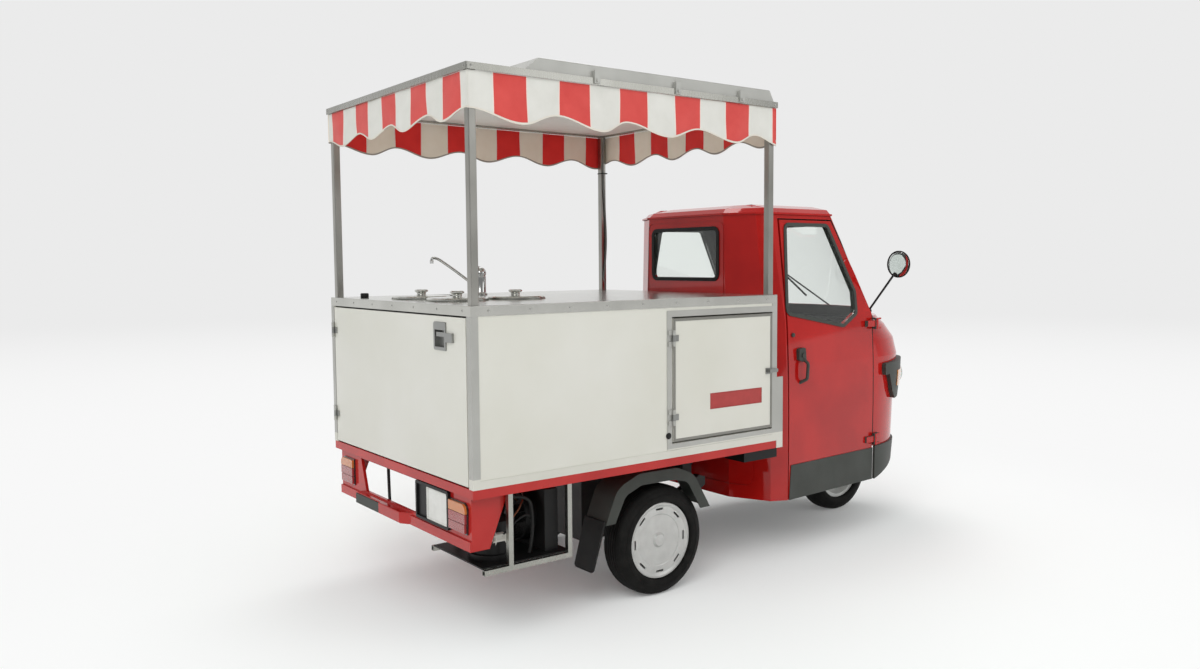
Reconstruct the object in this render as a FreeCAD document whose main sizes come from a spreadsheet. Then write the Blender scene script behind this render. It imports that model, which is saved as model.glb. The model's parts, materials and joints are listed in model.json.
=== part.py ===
"""Three-wheeled ice cream truck: a light enclosed cab, a flat deck and a gelato
counter with a four-post canopy.

Row frame, in millimetres: +Z is up, the truck faces -Y, and its right side is -X.
The origin is on the ground, at the middle of the overall length and width.
Every driving dimension is a named cell of the sheet called Sizes.
"""
import FreeCAD
import Part
import Sketcher
import math
import os
import re
from FreeCAD import Placement, Rotation, Vector

doc = FreeCAD.newDocument("ice_cream_truck")
sizes = doc.addObject("Spreadsheet::Sheet", "Sizes")

SIZE_TABLE = (  # alias, value in millimetres or degrees, what it measures
    ("overall_length", 2722, "nose tip to rear bumper"),
    ("rear_overhang", 912, "rear axle to the rear bumper's face"),
    ("front_overhang", 220, "nose tip to front axle"),
    ("bumper_proud", 19, "rear bumper beyond the box's rear face"),
    ("pad_depth", 6, "thickness of the rear bumper's rubber pad"),
    ("tyre_radius", 217, "outer radius of every tyre"),
    ("tyre_width", 124, "section width of every tyre"),
    ("rim_radius", 150, "outer radius of the rim's flanges"),
    ("bead_inset", 22, "tyre's widest place to the rim's flange"),
    ("rear_track", 850, "between the rear tyres' middle planes"),
    ("hub_bore", 12, "radius of the hole in every hub"),
    ("shaft_play", 0.1, "radial play of a shaft in its bore"),
    ("box_width", 1174, "outside of the box's corner angles"),
    ("box_length", 1423, "front to rear of the box"),
    ("panel_low", 567, "underside of the box's panels"),
    ("counter_height", 1168, "top face of the counter"),
    ("counter_rim", 34, "depth of the counter's turned-down rim"),
    ("counter_sheet", 3, "thickness of the counter's sheet"),
    ("panel_wall", 28, "thickness of a box panel"),
    ("angle_leg", 28, "leg of the box's corner and edge angles"),
    ("angle_wall", 2.5, "thickness of those angles"),
    ("deck_depth", 31, "depth of the deck's edge"),
    ("deck_sheet", 8, "thickness of the deck's floor"),
    ("rail_depth", 45, "height of a chassis rail"),
    ("rail_width", 40, "width of a chassis rail"),
    ("rail_centre", 250, "from the middle plane to a rail's middle"),
    ("post_side", 28, "side of a square canopy post"),
    ("post_inset", 12, "from the box's outside to a canopy post"),
    ("roof_height", 1940, "top of the canopy's rim"),
    ("roof_rim", 23, "depth of the canopy's rim"),
    ("lid_height", 45, "height of the roof lid above the rim"),
    ("lid_inset", 8, "from the rim's outside to the roof lid"),
    ("valance_drop", 128, "mean drop of the valance below the rim"),
    ("valance_wave", 17, "height of a wave of the valance's hem"),
    ("cloth_thickness", 6, "thickness of the valance"),
    ("well_radius", 105, "inside radius of a gelato well"),
    ("well_depth", 260, "depth of a gelato well"),
    ("lid_radius", 114, "radius of a well's lid"),
    ("well_flange", 4, "thickness of a well's flange on the counter"),
    ("basin_radius", 90, "inside radius of the wash basin"),
    ("basin_depth", 110, "depth of the wash basin"),
    ("soft_gap", 0.3, "clearance at faces of different bodies that seat"),
    ("door_gap", 6, "gap round a door or hatch"),
    ("knuckle", 6, "radius of a box hinge's knuckle"),
    ("hinge_pin", 3, "radius of a box hinge's pin"),
    ("sill_height", 272, "underside of the cab's doors and sills"),
    ("belt_height", 1045, "height where the cab's glasshouse begins"),
    ("roof_line", 1505, "underside of the cab's drip rail"),
    ("cab_wall", 18, "thickness of a cab wall"),
    ("door_wall", 26, "thickness of a cab door"),
    ("nose_depth", 480, "from the cab doors' hinge line to the nose tip"),
    ("cab_gap", 20, "between the cab's back and the box"),
    ("glass", 5, "thickness of the glass"),
    ("steer_rake", 22, "rake of the steering axis from upright, degrees"),
    ("steer_trail", 30, "steering axis behind the axle at axle height"),
    ("column_radius", 16, "radius of the steering column"),
)

for row, (alias, value, note) in enumerate(SIZE_TABLE, start=1):
    sizes.set(f"A{row}", note)
    sizes.set(f"B{row}", str(value))
    sizes.setAlias(f"B{row}", alias)
doc.recompute()

WORDS = re.compile(r"[a-z][a-z_]*[a-z]")
ALIASES = {alias for alias, value, note in SIZE_TABLE}


class SheetValues:
    """S.alias reads a cell of the sheet as a number."""

    def __getattr__(self, alias):
        return float(sizes.get(alias))


S = SheetValues()

# Places that follow from the sizes, as expressions of the sheet's cells.
PLACES = {
    "REAR_AXLE": "(overall_length / 2 - rear_overhang)",
    "FRONT_AXLE": "(front_overhang - overall_length / 2)",
    "BOX_REAR": "(overall_length / 2 - bumper_proud)",
    "BOX_FRONT": "(overall_length / 2 - bumper_proud - box_length)",
    "CAB_BACK": "(overall_length / 2 - bumper_proud - box_length - cab_gap)",
    "HINGE": "(nose_depth - overall_length / 2)",
    "SIDE": "(box_width / 2)",
    "DECK_LOW": "(panel_low - deck_depth)",
    "RIM_LOW": "(counter_height - counter_rim)",
    "ROOF_LOW": "(roof_height - roof_rim)",
    "BEAD": "(tyre_width / 2 - bead_inset)",
}


def expand(text):
    """Replace the named places in an expression, and point aliases at the sheet."""
    for name, meaning in PLACES.items():
        text = text.replace(name, meaning)
    return WORDS.sub(lambda m: "Sizes." + m.group(0) if m.group(0) in ALIASES else m.group(0), text)


def value_of(text):
    """The number that such an expression gives."""
    holder.setExpression("Placement.Base.x", expand(str(text)))
    holder.recompute()
    return holder.Placement.Base.x


holder = doc.addObject("Part::Feature", "Reckoner")


def bind(item, prop, text):
    item.setExpression(prop, expand(str(text)))


def place(item, x, y, z):
    for prop, text in zip("xyz", (x, y, z)):
        bind(item, f"Placement.Base.{prop}", text)


def slab(name, xs, ys, zs):
    """A box between two places along each axis."""
    item = doc.addObject("Part::Box", name)
    for prop, (low, high) in zip(("Length", "Width", "Height"), (xs, ys, zs)):
        bind(item, prop, f"({high}) - ({low})")
    place(item, xs[0], ys[0], zs[0])
    return item


TURNS = {"x": Rotation(Vector(0, 1, 0), 90), "y": Rotation(Vector(1, 0, 0), -90), "z": Rotation()}
UPRIGHT = Rotation(Vector(0, 1, 0), -90)  # stands a body turned about X on the frame's Z


def rod(name, radius, base, length, axis="z"):
    """A cylinder from its base along an axis of the frame."""
    item = doc.addObject("Part::Cylinder", name)
    item.Placement = Placement(Vector(), TURNS[axis])
    bind(item, "Radius", radius)
    bind(item, "Height", length)
    place(item, *base)
    return item


def join(name, parts):
    item = doc.addObject("Part::MultiFuse", name)
    item.Shapes = parts
    item.Refine = True
    return item


def cut(name, base, tools):
    item = doc.addObject("Part::Cut", name)
    item.Base = base
    item.Tool = tools[0] if len(tools) == 1 else join(name + "_tools", tools)
    return item


def mirror(name, source):
    item = doc.addObject("Part::Mirroring", name)
    item.Source = source
    item.Normal = (1, 0, 0)
    return item


def twins(name, source):
    """A piece and its mirror image on the other side, in one node."""
    item = doc.addObject("Part::Compound", name)
    item.Links = [source, mirror(name + "_other", source)]
    return item


def group(name, parts):
    item = doc.addObject("Part::Compound", name)
    item.Links = parts
    return item


def solid(name, shape):
    item = doc.addObject("Part::Feature", name)
    item.Shape = shape
    return item


def sketch_on(body, name, plane, offset):
    sketch = body.newObject("Sketcher::SketchObject", name)
    origin_plane = next(f for f in body.Origin.OriginFeatures if f.Role == plane)
    sketch.AttachmentSupport = [(origin_plane, "")]
    sketch.MapMode = "FlatFace"
    bind(sketch, "AttachmentOffset.Base.z", offset)
    return sketch


def draw_outline(sketch, points):
    """A closed outline, each corner held by two dimensions.

    A corner's third item is the radius of the arc that leaves it, positive where it turns left.
    """
    corners = [Vector(value_of(point[0]), value_of(point[1]), 0) for point in points]
    first = sketch.GeometryCount
    count = len(points)
    ends = []
    for i, corner in enumerate(corners):
        after = corners[(i + 1) % count]
        if len(points[i]) == 2:
            sketch.addGeometry(Part.LineSegment(corner, after), False)
            ends.append((1, 2))
            continue
        radius = value_of(points[i][2])
        chord = after - corner
        rise = math.sqrt(radius ** 2 - chord.Length ** 2 / 4) * (1 if radius > 0 else -1)
        centre = (corner + after) / 2 + Vector(-chord.y, chord.x, 0).normalize() * rise
        start, stop = (corner, after) if radius > 0 else (after, corner)
        angles = [math.atan2(spot.y - centre.y, spot.x - centre.x) for spot in (start, stop)]
        if angles[1] < angles[0]:
            angles[1] += 2 * math.pi
        ring = Part.Circle(centre, Vector(0, 0, 1), abs(radius))
        sketch.addGeometry(Part.ArcOfCircle(ring, *angles), False)
        ends.append((1, 2) if radius > 0 else (2, 1))
    for i in range(count):
        after = (i + 1) % count
        link = Sketcher.Constraint("Coincident", first + i, ends[i][1], first + after, ends[after][0])
        sketch.addConstraint(link)
    for i, point in enumerate(points):
        rules = [("DistanceX", (-1, 1, first + i, ends[i][0]), point[0], corners[i].x),
                 ("DistanceY", (-1, 1, first + i, ends[i][0]), point[1], corners[i].y)]
        if len(point) == 3:
            rules.append(("Radius", (first + i,), f"abs({point[2]})", abs(value_of(point[2]))))
        for kind, spots, text, number in rules:
            rule = sketch.addConstraint(Sketcher.Constraint(kind, *spots, number))
            sketch.setExpression(f"Constraints[{rule}]", expand(str(text)))


def draw_circle(sketch, centre, radius):
    u, v = (value_of(text) for text in centre)
    index = sketch.addGeometry(Part.Circle(Vector(u, v, 0), Vector(0, 0, 1), value_of(radius)), False)
    for kind, text, number in (("DistanceX", centre[0], u), ("DistanceY", centre[1], v)):
        rule = sketch.addConstraint(Sketcher.Constraint(kind, -1, 1, index, 3, number))
        sketch.setExpression(f"Constraints[{rule}]", expand(str(text)))
    rule = sketch.addConstraint(Sketcher.Constraint("Radius", index, value_of(radius)))
    sketch.setExpression(f"Constraints[{rule}]", expand(str(radius)))


def pad(name, plane, offset, depth, outline, holes=(), circles=()):
    """A body padded from one outline, with holes cut by the same sketch."""
    body = doc.addObject("PartDesign::Body", name)
    sketch = sketch_on(body, name + "_sketch", plane, offset)
    draw_outline(sketch, outline)
    for hole in holes:
        draw_outline(sketch, hole)
    for centre, radius in circles:
        draw_circle(sketch, centre, radius)
    feature = body.newObject("PartDesign::Pad", name + "_pad")
    feature.Profile = sketch
    bind(feature, "Length", depth)
    doc.recompute()
    return body


def rectangle(us, vs):
    return ((us[0], vs[0]), (us[1], vs[0]), (us[1], vs[1]), (us[0], vs[1]))


def soften(points, radius):
    """An open run of (u, v) points with a tangent arc in place of each inner corner."""
    spots = [Vector(u, v, 0) for u, v in points]
    run = [points[0]]
    for before, corner, after in zip(spots, spots[1:], spots[2:]):
        inward, outward = (corner - before).normalize(), (after - corner).normalize()
        back = radius * math.tan(inward.getAngle(outward) / 2)
        turn = radius if inward.cross(outward).z > 0 else -radius
        first, last = corner - inward * back, corner + outward * back
        run += [(first.x, first.y, turn), (last.x, last.y)]
    return run + [points[-1]]


def rounded(name, base, radius, chosen):
    """A copy of a solid with a fillet on each edge that chosen(edge) picks."""
    doc.recompute()
    item = doc.addObject("Part::Fillet", name)
    item.Base = base
    item.Edges = [(i, radius, radius) for i, edge in enumerate(base.Shape.Edges, start=1) if chosen(edge)]
    return item


def runs_along(axis):
    """Picks the straight edges along an axis of the frame."""
    return lambda edge: edge.BoundBox.DiagonalLength - getattr(edge.BoundBox, axis + "Length") < 0.01


def turned(name, outline):
    """A body turned about its own X axis from an outline of (along, radius) corners."""
    body = doc.addObject("PartDesign::Body", name)
    sketch = sketch_on(body, name + "_sketch", "XY_Plane", "0")
    draw_outline(sketch, outline)
    feature = body.newObject("PartDesign::Revolution", name + "_turn")
    feature.Profile = sketch
    feature.ReferenceAxis = (sketch, ["H_Axis"])
    feature.Angle = 360
    doc.recompute()
    return body


nodes = []


def node(item, label=None):
    """Mark a finished sub-part: its label names its node and its file."""
    item.Label = label or item.Name
    nodes.append(item)
    return item


# ---------------------------------------------------------------- chassis and deck

RAIL_TOP = "(panel_low - deck_sheet)"
RAIL_LOW = "(panel_low - deck_sheet - rail_depth)"

deck_blank = slab("deck_blank", ("-SIDE", "SIDE"), ("BOX_FRONT", "BOX_REAR"), ("DECK_LOW", "panel_low"))
deck_folded = rounded("deck_folded", deck_blank, 6, runs_along("Z"))
deck_hollow = slab("deck_hollow", ("-SIDE + 25", "SIDE - 25"),
                   ("BOX_FRONT + 25", "BOX_REAR - 25"), ("DECK_LOW - 1", RAIL_TOP))
node(cut("deck_sheet_metal", deck_folded, [deck_hollow]), "deck")

rail = slab("rail", ("rail_centre - rail_width / 2", "rail_centre + rail_width / 2"),
            ("BOX_FRONT + 25", "BOX_REAR - 40"), (RAIL_LOW, RAIL_TOP))
cab_horn = slab("cab_horn", ("rail_centre - rail_width / 2", "rail_centre + rail_width / 2"),
                ("CAB_BACK", "BOX_FRONT + 25"), (RAIL_LOW, "DECK_LOW - 1"))
CROSS_MEMBERS = ("BOX_FRONT + 60", "REAR_AXLE - 330", "REAR_AXLE + 60", "REAR_AXLE + 430", "BOX_REAR - 75")
frame_parts = [rail, cab_horn]
frame_parts += [mirror(part.Name + "_other", part) for part in (rail, cab_horn)]
for count, where in enumerate(CROSS_MEMBERS):
    frame_parts.append(slab(f"cross_member_{count}", ("-rail_centre", "rail_centre"),
                            (where, where + " + 35"), (RAIL_LOW, RAIL_LOW + " + 35")))
PIVOT_Y = "(REAR_AXLE - 330)"
PIVOT_Z = "(tyre_radius + 170)"
pivot_ear = slab("pivot_ear", ("rail_centre - 10", "rail_centre + 10"),
                 (PIVOT_Y + " - 25", PIVOT_Y + " + 25"), (PIVOT_Z + " - 25", RAIL_LOW))
frame_parts += [pivot_ear, mirror("pivot_ear_other", pivot_ear)]
node(join("chassis_frame", frame_parts))

# ---------------------------------------------------------------- rear end

APRON_Y = "(BOX_REAR - 13)"
APRON_SIDE = "(SIDE - 40)"
APRON_LOW = "(tyre_radius + 135)"
apron_plate = pad("apron_plate", "XZ_Plane", "-" + APRON_Y, "12",
                  rectangle(("-" + APRON_SIDE, APRON_SIDE), (APRON_LOW, "DECK_LOW")),
                  holes=[(("-150", "400"), ("305", "400"), ("350", "526"), ("-150", "526"))])
STEP_SPLIT = "120"
bumper_step = pad("bumper_step", "XY_Plane", APRON_LOW, "42",
                  (("345", APRON_Y), ("336", "BOX_REAR + bumper_proud - pad_depth"),
                   (STEP_SPLIT, "BOX_REAR + bumper_proud - pad_depth"),
                   (STEP_SPLIT, "BOX_REAR + bumper_proud"),
                   ("-60", "BOX_REAR + bumper_proud"), ("-110", APRON_Y)))
bumper_band = slab("bumper_band", ("-" + APRON_SIDE, APRON_SIDE), (APRON_Y, APRON_Y + " + 7"),
                   (APRON_LOW, APRON_LOW + " + 34"))
wing = pad("apron_wing", "YZ_Plane", APRON_SIDE + " - 10", "10",
           ((APRON_Y, APRON_LOW), (APRON_Y, "DECK_LOW"), (APRON_Y + " - 142", "DECK_LOW"),
            (APRON_Y + " - 68", APRON_LOW)))
apron_whole = join("apron_whole", [apron_plate, bumper_step, bumper_band, wing,
                                   mirror("apron_wing_other", wing)])
node(rounded("rear_apron", apron_whole, 4, lambda edge: edge.BoundBox.ZMin > value_of(APRON_LOW) - 1
             and edge.BoundBox.ZMax < value_of(APRON_LOW) + 43 and edge.BoundBox.YMax > value_of("BOX_REAR")
             and edge.BoundBox.XLength > 170))
node(slab("bumper_pad", (STEP_SPLIT, "334"), ("BOX_REAR + bumper_proud - pad_depth",
                                              "BOX_REAR + bumper_proud"),
          (APRON_LOW + " + 2", APRON_LOW + " + 40")))

# A tail lamp is a gasket plate with three lenses, the outer top corner rounded.
# Columns: name, outer x, low z, high z, radius of the outer top corner.
LENSES = (("low", "522", "410", "440", None), ("middle", "524", "442", "474", None),
          ("top", "526", "476", "508", 22))
lamp_parts = [pad("lamp_gasket", "XZ_Plane", "-(" + APRON_Y + " + 5)", "5",
                  (("408", "405"), ("526", "405"), ("530", "486", 26), ("504", "512"), ("408", "512")))]
for name, outer, low, high, radius in LENSES:
    corner = [(outer, high)]
    if radius:
        corner = [(outer, f"{high} - {radius}", radius), (f"{outer} - {radius}", high)]
    lamp_parts.append(pad("lens_" + name, "XZ_Plane", "-(" + APRON_Y + " + 14)", "9",
                          [("412", low), (outer, low), *corner, ("412", high)]))
node(twins("tail_lamps", join("tail_lamp", lamp_parts)))

bracket_blank = slab("bracket_blank", ("-406", "-160"), (APRON_Y, APRON_Y + " + 12"), ("395", "531"))
bracket_round = rounded("bracket_round", bracket_blank, 8, runs_along("Y"))
bracket_recess = slab("bracket_recess", ("-396", "-170"), (APRON_Y + " + 5", APRON_Y + " + 20"),
                      ("405", "521"))
node(cut("plate_bracket", bracket_round, [bracket_recess]))

# ---------------------------------------------------------------- wheels and rear running gear

TYRE_SIDE = "(rear_track / 2 + tyre_width / 2)"


def rising(across, up):
    """Radius of an arc that leaves square to its axis and ends this far across and up."""
    return f"((({across}) * ({across}) + ({up}) * ({up})) / (2 * ({across})))"


# Half of the section, along and radius: bead, flange, widest place, edge of the flat tread.
TYRE_SECTION = (
    ("BEAD", "rim_radius - 12"), ("BEAD", "rim_radius + 1.5", rising("bead_inset", "13.5")),
    ("tyre_width / 2", "rim_radius + 15", rising("tyre_width / 2 - 18", "tyre_radius - rim_radius - 15")),
    ("18", "tyre_radius"))
RIM_FLANGE = (("BEAD", "rim_radius - 12"), ("BEAD", "rim_radius"), ("BEAD + 3", "rim_radius"),
              ("BEAD + 3", "rim_radius - 16"))


def other_half(half):
    """The mirror image of a half section, its arcs leaving from the other end."""
    run = []
    for i in reversed(range(len(half))):
        along, radius = half[i][:2]
        arc = half[i - 1][2:] if i else ()
        run.append((f"-({along})", radius) + arc)
    return run


def wheel_at(body, x, y, turn=0):
    """Move a turned body to its axle."""
    body.Placement = Placement(Vector(), Rotation(Vector(0, 0, 1), turn))
    place(body, x, y, "tyre_radius")
    return body


tyre_outline = list(TYRE_SECTION) + other_half(TYRE_SECTION)
REAR_RIM = other_half(RIM_FLANGE) + list(RIM_FLANGE) + [  # then the web, the hub and the drum side
    ("8", "rim_radius - 22"), ("14", "60"), ("14", "hub_bore"), ("-20", "hub_bore"), ("-20", "60"),
    ("-2", "rim_radius - 26")]
FRONT_RIM = other_half(RIM_FLANGE) + list(RIM_FLANGE) + [
    ("12", "rim_radius - 26"), ("12", "48"), ("30", "44"), ("30", "hub_bore"), ("-30", "hub_bore"),
    ("-30", "44"), ("-2", "48"), ("-2", "rim_radius - 26")]
COVER = (  # the pressed cover's sheet: inner face out to its cap, then the outer face back
    ("BEAD + 3", "rim_radius"), ("BEAD + 3", "rim_radius - 14"), ("BEAD - 1", "rim_radius - 18"),
    ("BEAD - 2", "rim_radius - 46"), ("BEAD - 5", "rim_radius - 49"), ("BEAD - 7", "27"), ("BEAD + 1", "20"),
    ("BEAD + 2", "0"), ("BEAD + 5", "0"), ("BEAD + 4", "22"), ("BEAD - 4", "30"),
    ("BEAD - 2", "rim_radius - 50"),
    ("BEAD + 1", "rim_radius - 46"), ("BEAD + 2", "rim_radius - 18"), ("BEAD + 7", "rim_radius - 9"),
    ("BEAD + 7", "rim_radius - 2"))
COVER_SLOTS = 8


def slotted_cover(name):
    """The wheel cover with its ring of slots: one pocket, patterned about the axle."""
    body = turned(name, COVER)
    sketch = sketch_on(body, name + "_slot_sketch", "YZ_Plane", "0")
    draw_outline(sketch, rectangle(("-18", "18"), ("rim_radius - 31", "rim_radius - 23")))
    slot = body.newObject("PartDesign::Pocket", name + "_slot")
    slot.Profile = sketch
    slot.Type = 1
    slot.Midplane = True
    ring = body.newObject("PartDesign::PolarPattern", name + "_slots")
    ring.Originals = [slot]
    ring.Axis = (sketch, ["N_Axis"])
    ring.Angle = 360
    ring.Occurrences = COVER_SLOTS
    body.Tip = ring
    doc.recompute()
    return body


for side, sign, turn in (("left", "", 0), ("right", "-", 180)):
    middle = f"{sign}(rear_track / 2)"
    node(wheel_at(turned("rear_tyre_" + side, tyre_outline), middle, "REAR_AXLE", turn))
    rim = wheel_at(turned("rear_disc_" + side, REAR_RIM), middle, "REAR_AXLE", turn)
    cover = wheel_at(slotted_cover("wheel_cover_" + side), middle, "REAR_AXLE", turn)
    node(join("rear_rim_" + side, [rim, cover]))
node(wheel_at(turned("front_tyre", tyre_outline), "0", "FRONT_AXLE"))
node(wheel_at(turned("front_rim", FRONT_RIM), "0", "FRONT_AXLE"))

ARM_X = "(rear_track / 2 - tyre_width / 2 - 30)"
arm_blank = pad("arm_blank", "YZ_Plane", ARM_X + " - 16", "32",
                ((PIVOT_Y + " - 22", PIVOT_Z + " - 20"), ("REAR_AXLE", "tyre_radius - 42"),
                 ("REAR_AXLE + 42", "tyre_radius"), ("REAR_AXLE", "tyre_radius + 42"),
                 (PIVOT_Y + " + 10", PIVOT_Z + " + 24"), (PIVOT_Y + " - 22", PIVOT_Z + " + 14")))
arm_tube = rod("arm_tube", 14, ("rail_centre + 10", PIVOT_Y, PIVOT_Z), ARM_X + " - rail_centre - 10", "x")
axle_stub = rod("axle_stub", "hub_bore - shaft_play", (ARM_X, "REAR_AXLE", "tyre_radius"),
                "rear_track / 2 + 20 - " + ARM_X, "x")
axle_flange = rod("axle_flange", 34, (ARM_X, "REAR_AXLE", "tyre_radius"),
                  "rear_track / 2 - 20 - soft_gap - " + ARM_X, "x")
node(twins("swing_arms", join("swing_arm", [arm_blank, arm_tube, axle_stub, axle_flange])))

DAMPER_Y = "(REAR_AXLE - 40)"
damper_body = rod("damper_body", 22, ("rail_centre + 42", DAMPER_Y, "tyre_radius + 80"), "110")
damper_rod = rod("damper_rod", 8, ("rail_centre + 42", DAMPER_Y, "tyre_radius + 190"),
                 RAIL_TOP + " - tyre_radius - 190")
damper_foot = slab("damper_foot", ("rail_centre + 30", ARM_X + " - 16"),
                   (DAMPER_Y + " - 14", DAMPER_Y + " + 14"), ("tyre_radius + 20", "tyre_radius + 80"))
node(twins("dampers", join("damper", [damper_body, damper_rod, damper_foot])))

engine = slab("engine_mass", ("-180", "180"), ("REAR_AXLE - 85", "REAR_AXLE + 170"),
              ("tyre_radius - 40", RAIL_LOW))
driveshaft = rod("driveshaft", 15, ("-" + ARM_X + " + 16", "REAR_AXLE", "tyre_radius"), ARM_X + " * 2 - 32",
                 "x")
node(join("engine_block", [engine, driveshaft]))

# Runs of (ahead of the axle, above the axle) softened by arcs: outer face, lip, inner face.
FENDER_OUTER = soften(((-236, 105), (-150, 248), (-64, 285), (130, 287), (235, 245), (290, 113)), 95)
FENDER_LIP = soften(((-186, 105), (-116, 222), (-42, 240), (118, 241), (195, 212), (246, 113)), 50)
FENDER_SKIN = soften(((-230, 105), (-146, 243), (-62, 280), (128, 282), (231, 241), (285, 113)), 90)


def beside_axle(points):
    return [(f"REAR_AXLE + ({point[0]})", f"tyre_radius + {point[1]}") + point[2:] for point in points]


def arch(outer, inner):
    """The band between two runs, the inner one walked back with its arcs turned about."""
    back = []
    for i in reversed(range(len(inner))):
        arc = tuple(-radius for radius in inner[i - 1][2:]) if i else ()
        back.append(inner[i][:2] + arc)
    return beside_axle(outer) + beside_axle(back)


fender_skin = pad("fender_skin", "YZ_Plane", TYRE_SIDE + " - 114", "124", arch(FENDER_OUTER, FENDER_SKIN))
fender_lip = pad("fender_lip", "YZ_Plane", TYRE_SIDE + " + 10", "5", arch(FENDER_OUTER, FENDER_LIP))
fender_stay = slab("fender_stay", ("rail_centre + rail_width / 2", TYRE_SIDE + " - 88"),
                   ("REAR_AXLE + 20", "REAR_AXLE + 60"), ("tyre_radius + 298", "tyre_radius + 306"))
fender_block = slab("fender_block", (TYRE_SIDE + " - 114", TYRE_SIDE + " - 88"),
                    ("REAR_AXLE + 20", "REAR_AXLE + 60"), ("tyre_radius + 283", "tyre_radius + 298"))
node(twins("rear_fenders", join("rear_fender", [fender_skin, fender_lip, fender_stay, fender_block])))

flap_sheet = pad("mudflap_sheet", "YZ_Plane", TYRE_SIDE + " - 110", "121",
           (("REAR_AXLE + 290", "tyre_radius + 113"), ("REAR_AXLE + 345", "tyre_radius - 58"),
            ("REAR_AXLE + 350", "tyre_radius - 57"), ("REAR_AXLE + 296", "tyre_radius + 128"),
            ("REAR_AXLE + 289", "tyre_radius + 128")))
flap = rounded("mudflap", flap_sheet, 16, lambda edge: edge.BoundBox.ZMax < value_of("tyre_radius - 50")
               and edge.BoundBox.XLength < 1)
node(twins("mudflaps", flap))

# ---------------------------------------------------------------- slung under the deck

SPARE_SECTION = (("BEAD - 6", "30"), ("BEAD - 6", "rim_radius - 12")) + TYRE_SECTION
spare = turned("spare_wheel", list(SPARE_SECTION) + other_half(SPARE_SECTION))
spare.Placement = Placement(Vector(), Rotation(Vector(0, 1, 0), 90))
place(spare, "0", "BOX_FRONT + 215", RAIL_LOW + " - tyre_width / 2")
node(spare)

node(slab("air_box", ("-SIDE + 17", "-SIDE + 130"), ("BOX_FRONT - 20", "BOX_FRONT + 170"),
          ("DECK_LOW - 42", "DECK_LOW")))

CRADLE_LOW = "(tyre_radius + 53)"
CRADLE_X = ("-(SIDE - 14)", "-(SIDE - 32)", "-(rail_centre - 43)", "-(rail_centre - 61)")
CRADLE_Y = ("BOX_REAR - 400", "BOX_REAR - 382", "BOX_REAR - 64", "BOX_REAR - 46")
cradle_parts = [
    slab("cradle_side", CRADLE_X[:2], (CRADLE_Y[0], CRADLE_Y[3]), (CRADLE_LOW, CRADLE_LOW + " + 18")),
    slab("cradle_inner", CRADLE_X[2:], (CRADLE_Y[0], CRADLE_Y[3]), (CRADLE_LOW, CRADLE_LOW + " + 18")),
    slab("cradle_front", (CRADLE_X[0], CRADLE_X[3]), CRADLE_Y[:2], (CRADLE_LOW, CRADLE_LOW + " + 18")),
    slab("cradle_back", (CRADLE_X[1], CRADLE_X[2]), ("BOX_REAR - 102", "BOX_REAR - 84"),
         (CRADLE_LOW, CRADLE_LOW + " + 18"))]
for count, (x, y) in enumerate(((0, "BOX_REAR - 158"), (2, "BOX_REAR - 158"), (0, "BOX_REAR - 400"),
                                (2, "BOX_REAR - 400"))):
    xs = CRADLE_X[:2] if x == 0 else CRADLE_X[2:]
    cradle_parts.append(slab(f"cradle_post_{count}", xs, (y, y + " + 18"),
                             (CRADLE_LOW, "DECK_LOW" if x == 0 else RAIL_TOP)))
tube_bores = [slab(f"tube_bore_{i}", (CRADLE_X[i] + " + 2", CRADLE_X[i + 1] + " - 2"),
                   (CRADLE_Y[3] + " - 60", CRADLE_Y[3] + " + 1"), (CRADLE_LOW + " + 2", CRADLE_LOW + " + 16"))
              for i in (0, 2)]
node(cut("unit_cradle", join("cradle_tubes", cradle_parts), tube_bores))

UNIT_LOW = "(tyre_radius + 71)"
FAN_Y = CRADLE_Y[0] + " + 85"
FAN_CENTRE = ("-(SIDE - 210)", UNIT_LOW + " + 115")
compressor = turned("compressor", (("0", "0"), ("0", "80"), ("18", "80"), ("18", "70"), ("130", "70", 45),
                                   ("165", "34"), ("165", "0")))
compressor.Placement = Placement(Vector(), UPRIGHT)
place(compressor, "-(SIDE - 150)", "BOX_REAR - 150", UNIT_LOW + " + 5")
shroud_solid = rod("shroud_solid", 95, (FAN_CENTRE[0], FAN_Y, FAN_CENTRE[1]), "40", "y")
shroud_bore = rod("shroud_bore", 91, (FAN_CENTRE[0], FAN_Y + " + 6", FAN_CENTRE[1]), "40", "y")
fan_motor = rod("fan_motor", 34, (FAN_CENTRE[0], FAN_Y, FAN_CENTRE[1]), "52", "y")
unit_parts = [
    slab("unit_base", (CRADLE_X[1] + " + 1", CRADLE_X[2] + " - 1"), (CRADLE_Y[0], CRADLE_Y[3]),
         (UNIT_LOW, UNIT_LOW + " + 5")),
    slab("condenser", ("-(SIDE - 60)", "-(SIDE - 360)"), (CRADLE_Y[0] + " + 30", FAN_Y),
         (UNIT_LOW + " + 5", UNIT_LOW + " + 225")),
    compressor, cut("fan_shroud", shroud_solid, [shroud_bore]), fan_motor]
node(join("cooling_unit", unit_parts))

# ---------------------------------------------------------------- counter box

HATCH_Y = ("(BOX_REAR - 1400)", "(BOX_REAR - 855)")
HATCH_Z = ("(panel_low + 53)", "(RIM_LOW - 35)")


def panel(name, plane, offset, outline, holes=()):
    return pad(name, plane, offset, "panel_wall", outline, holes)


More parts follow.
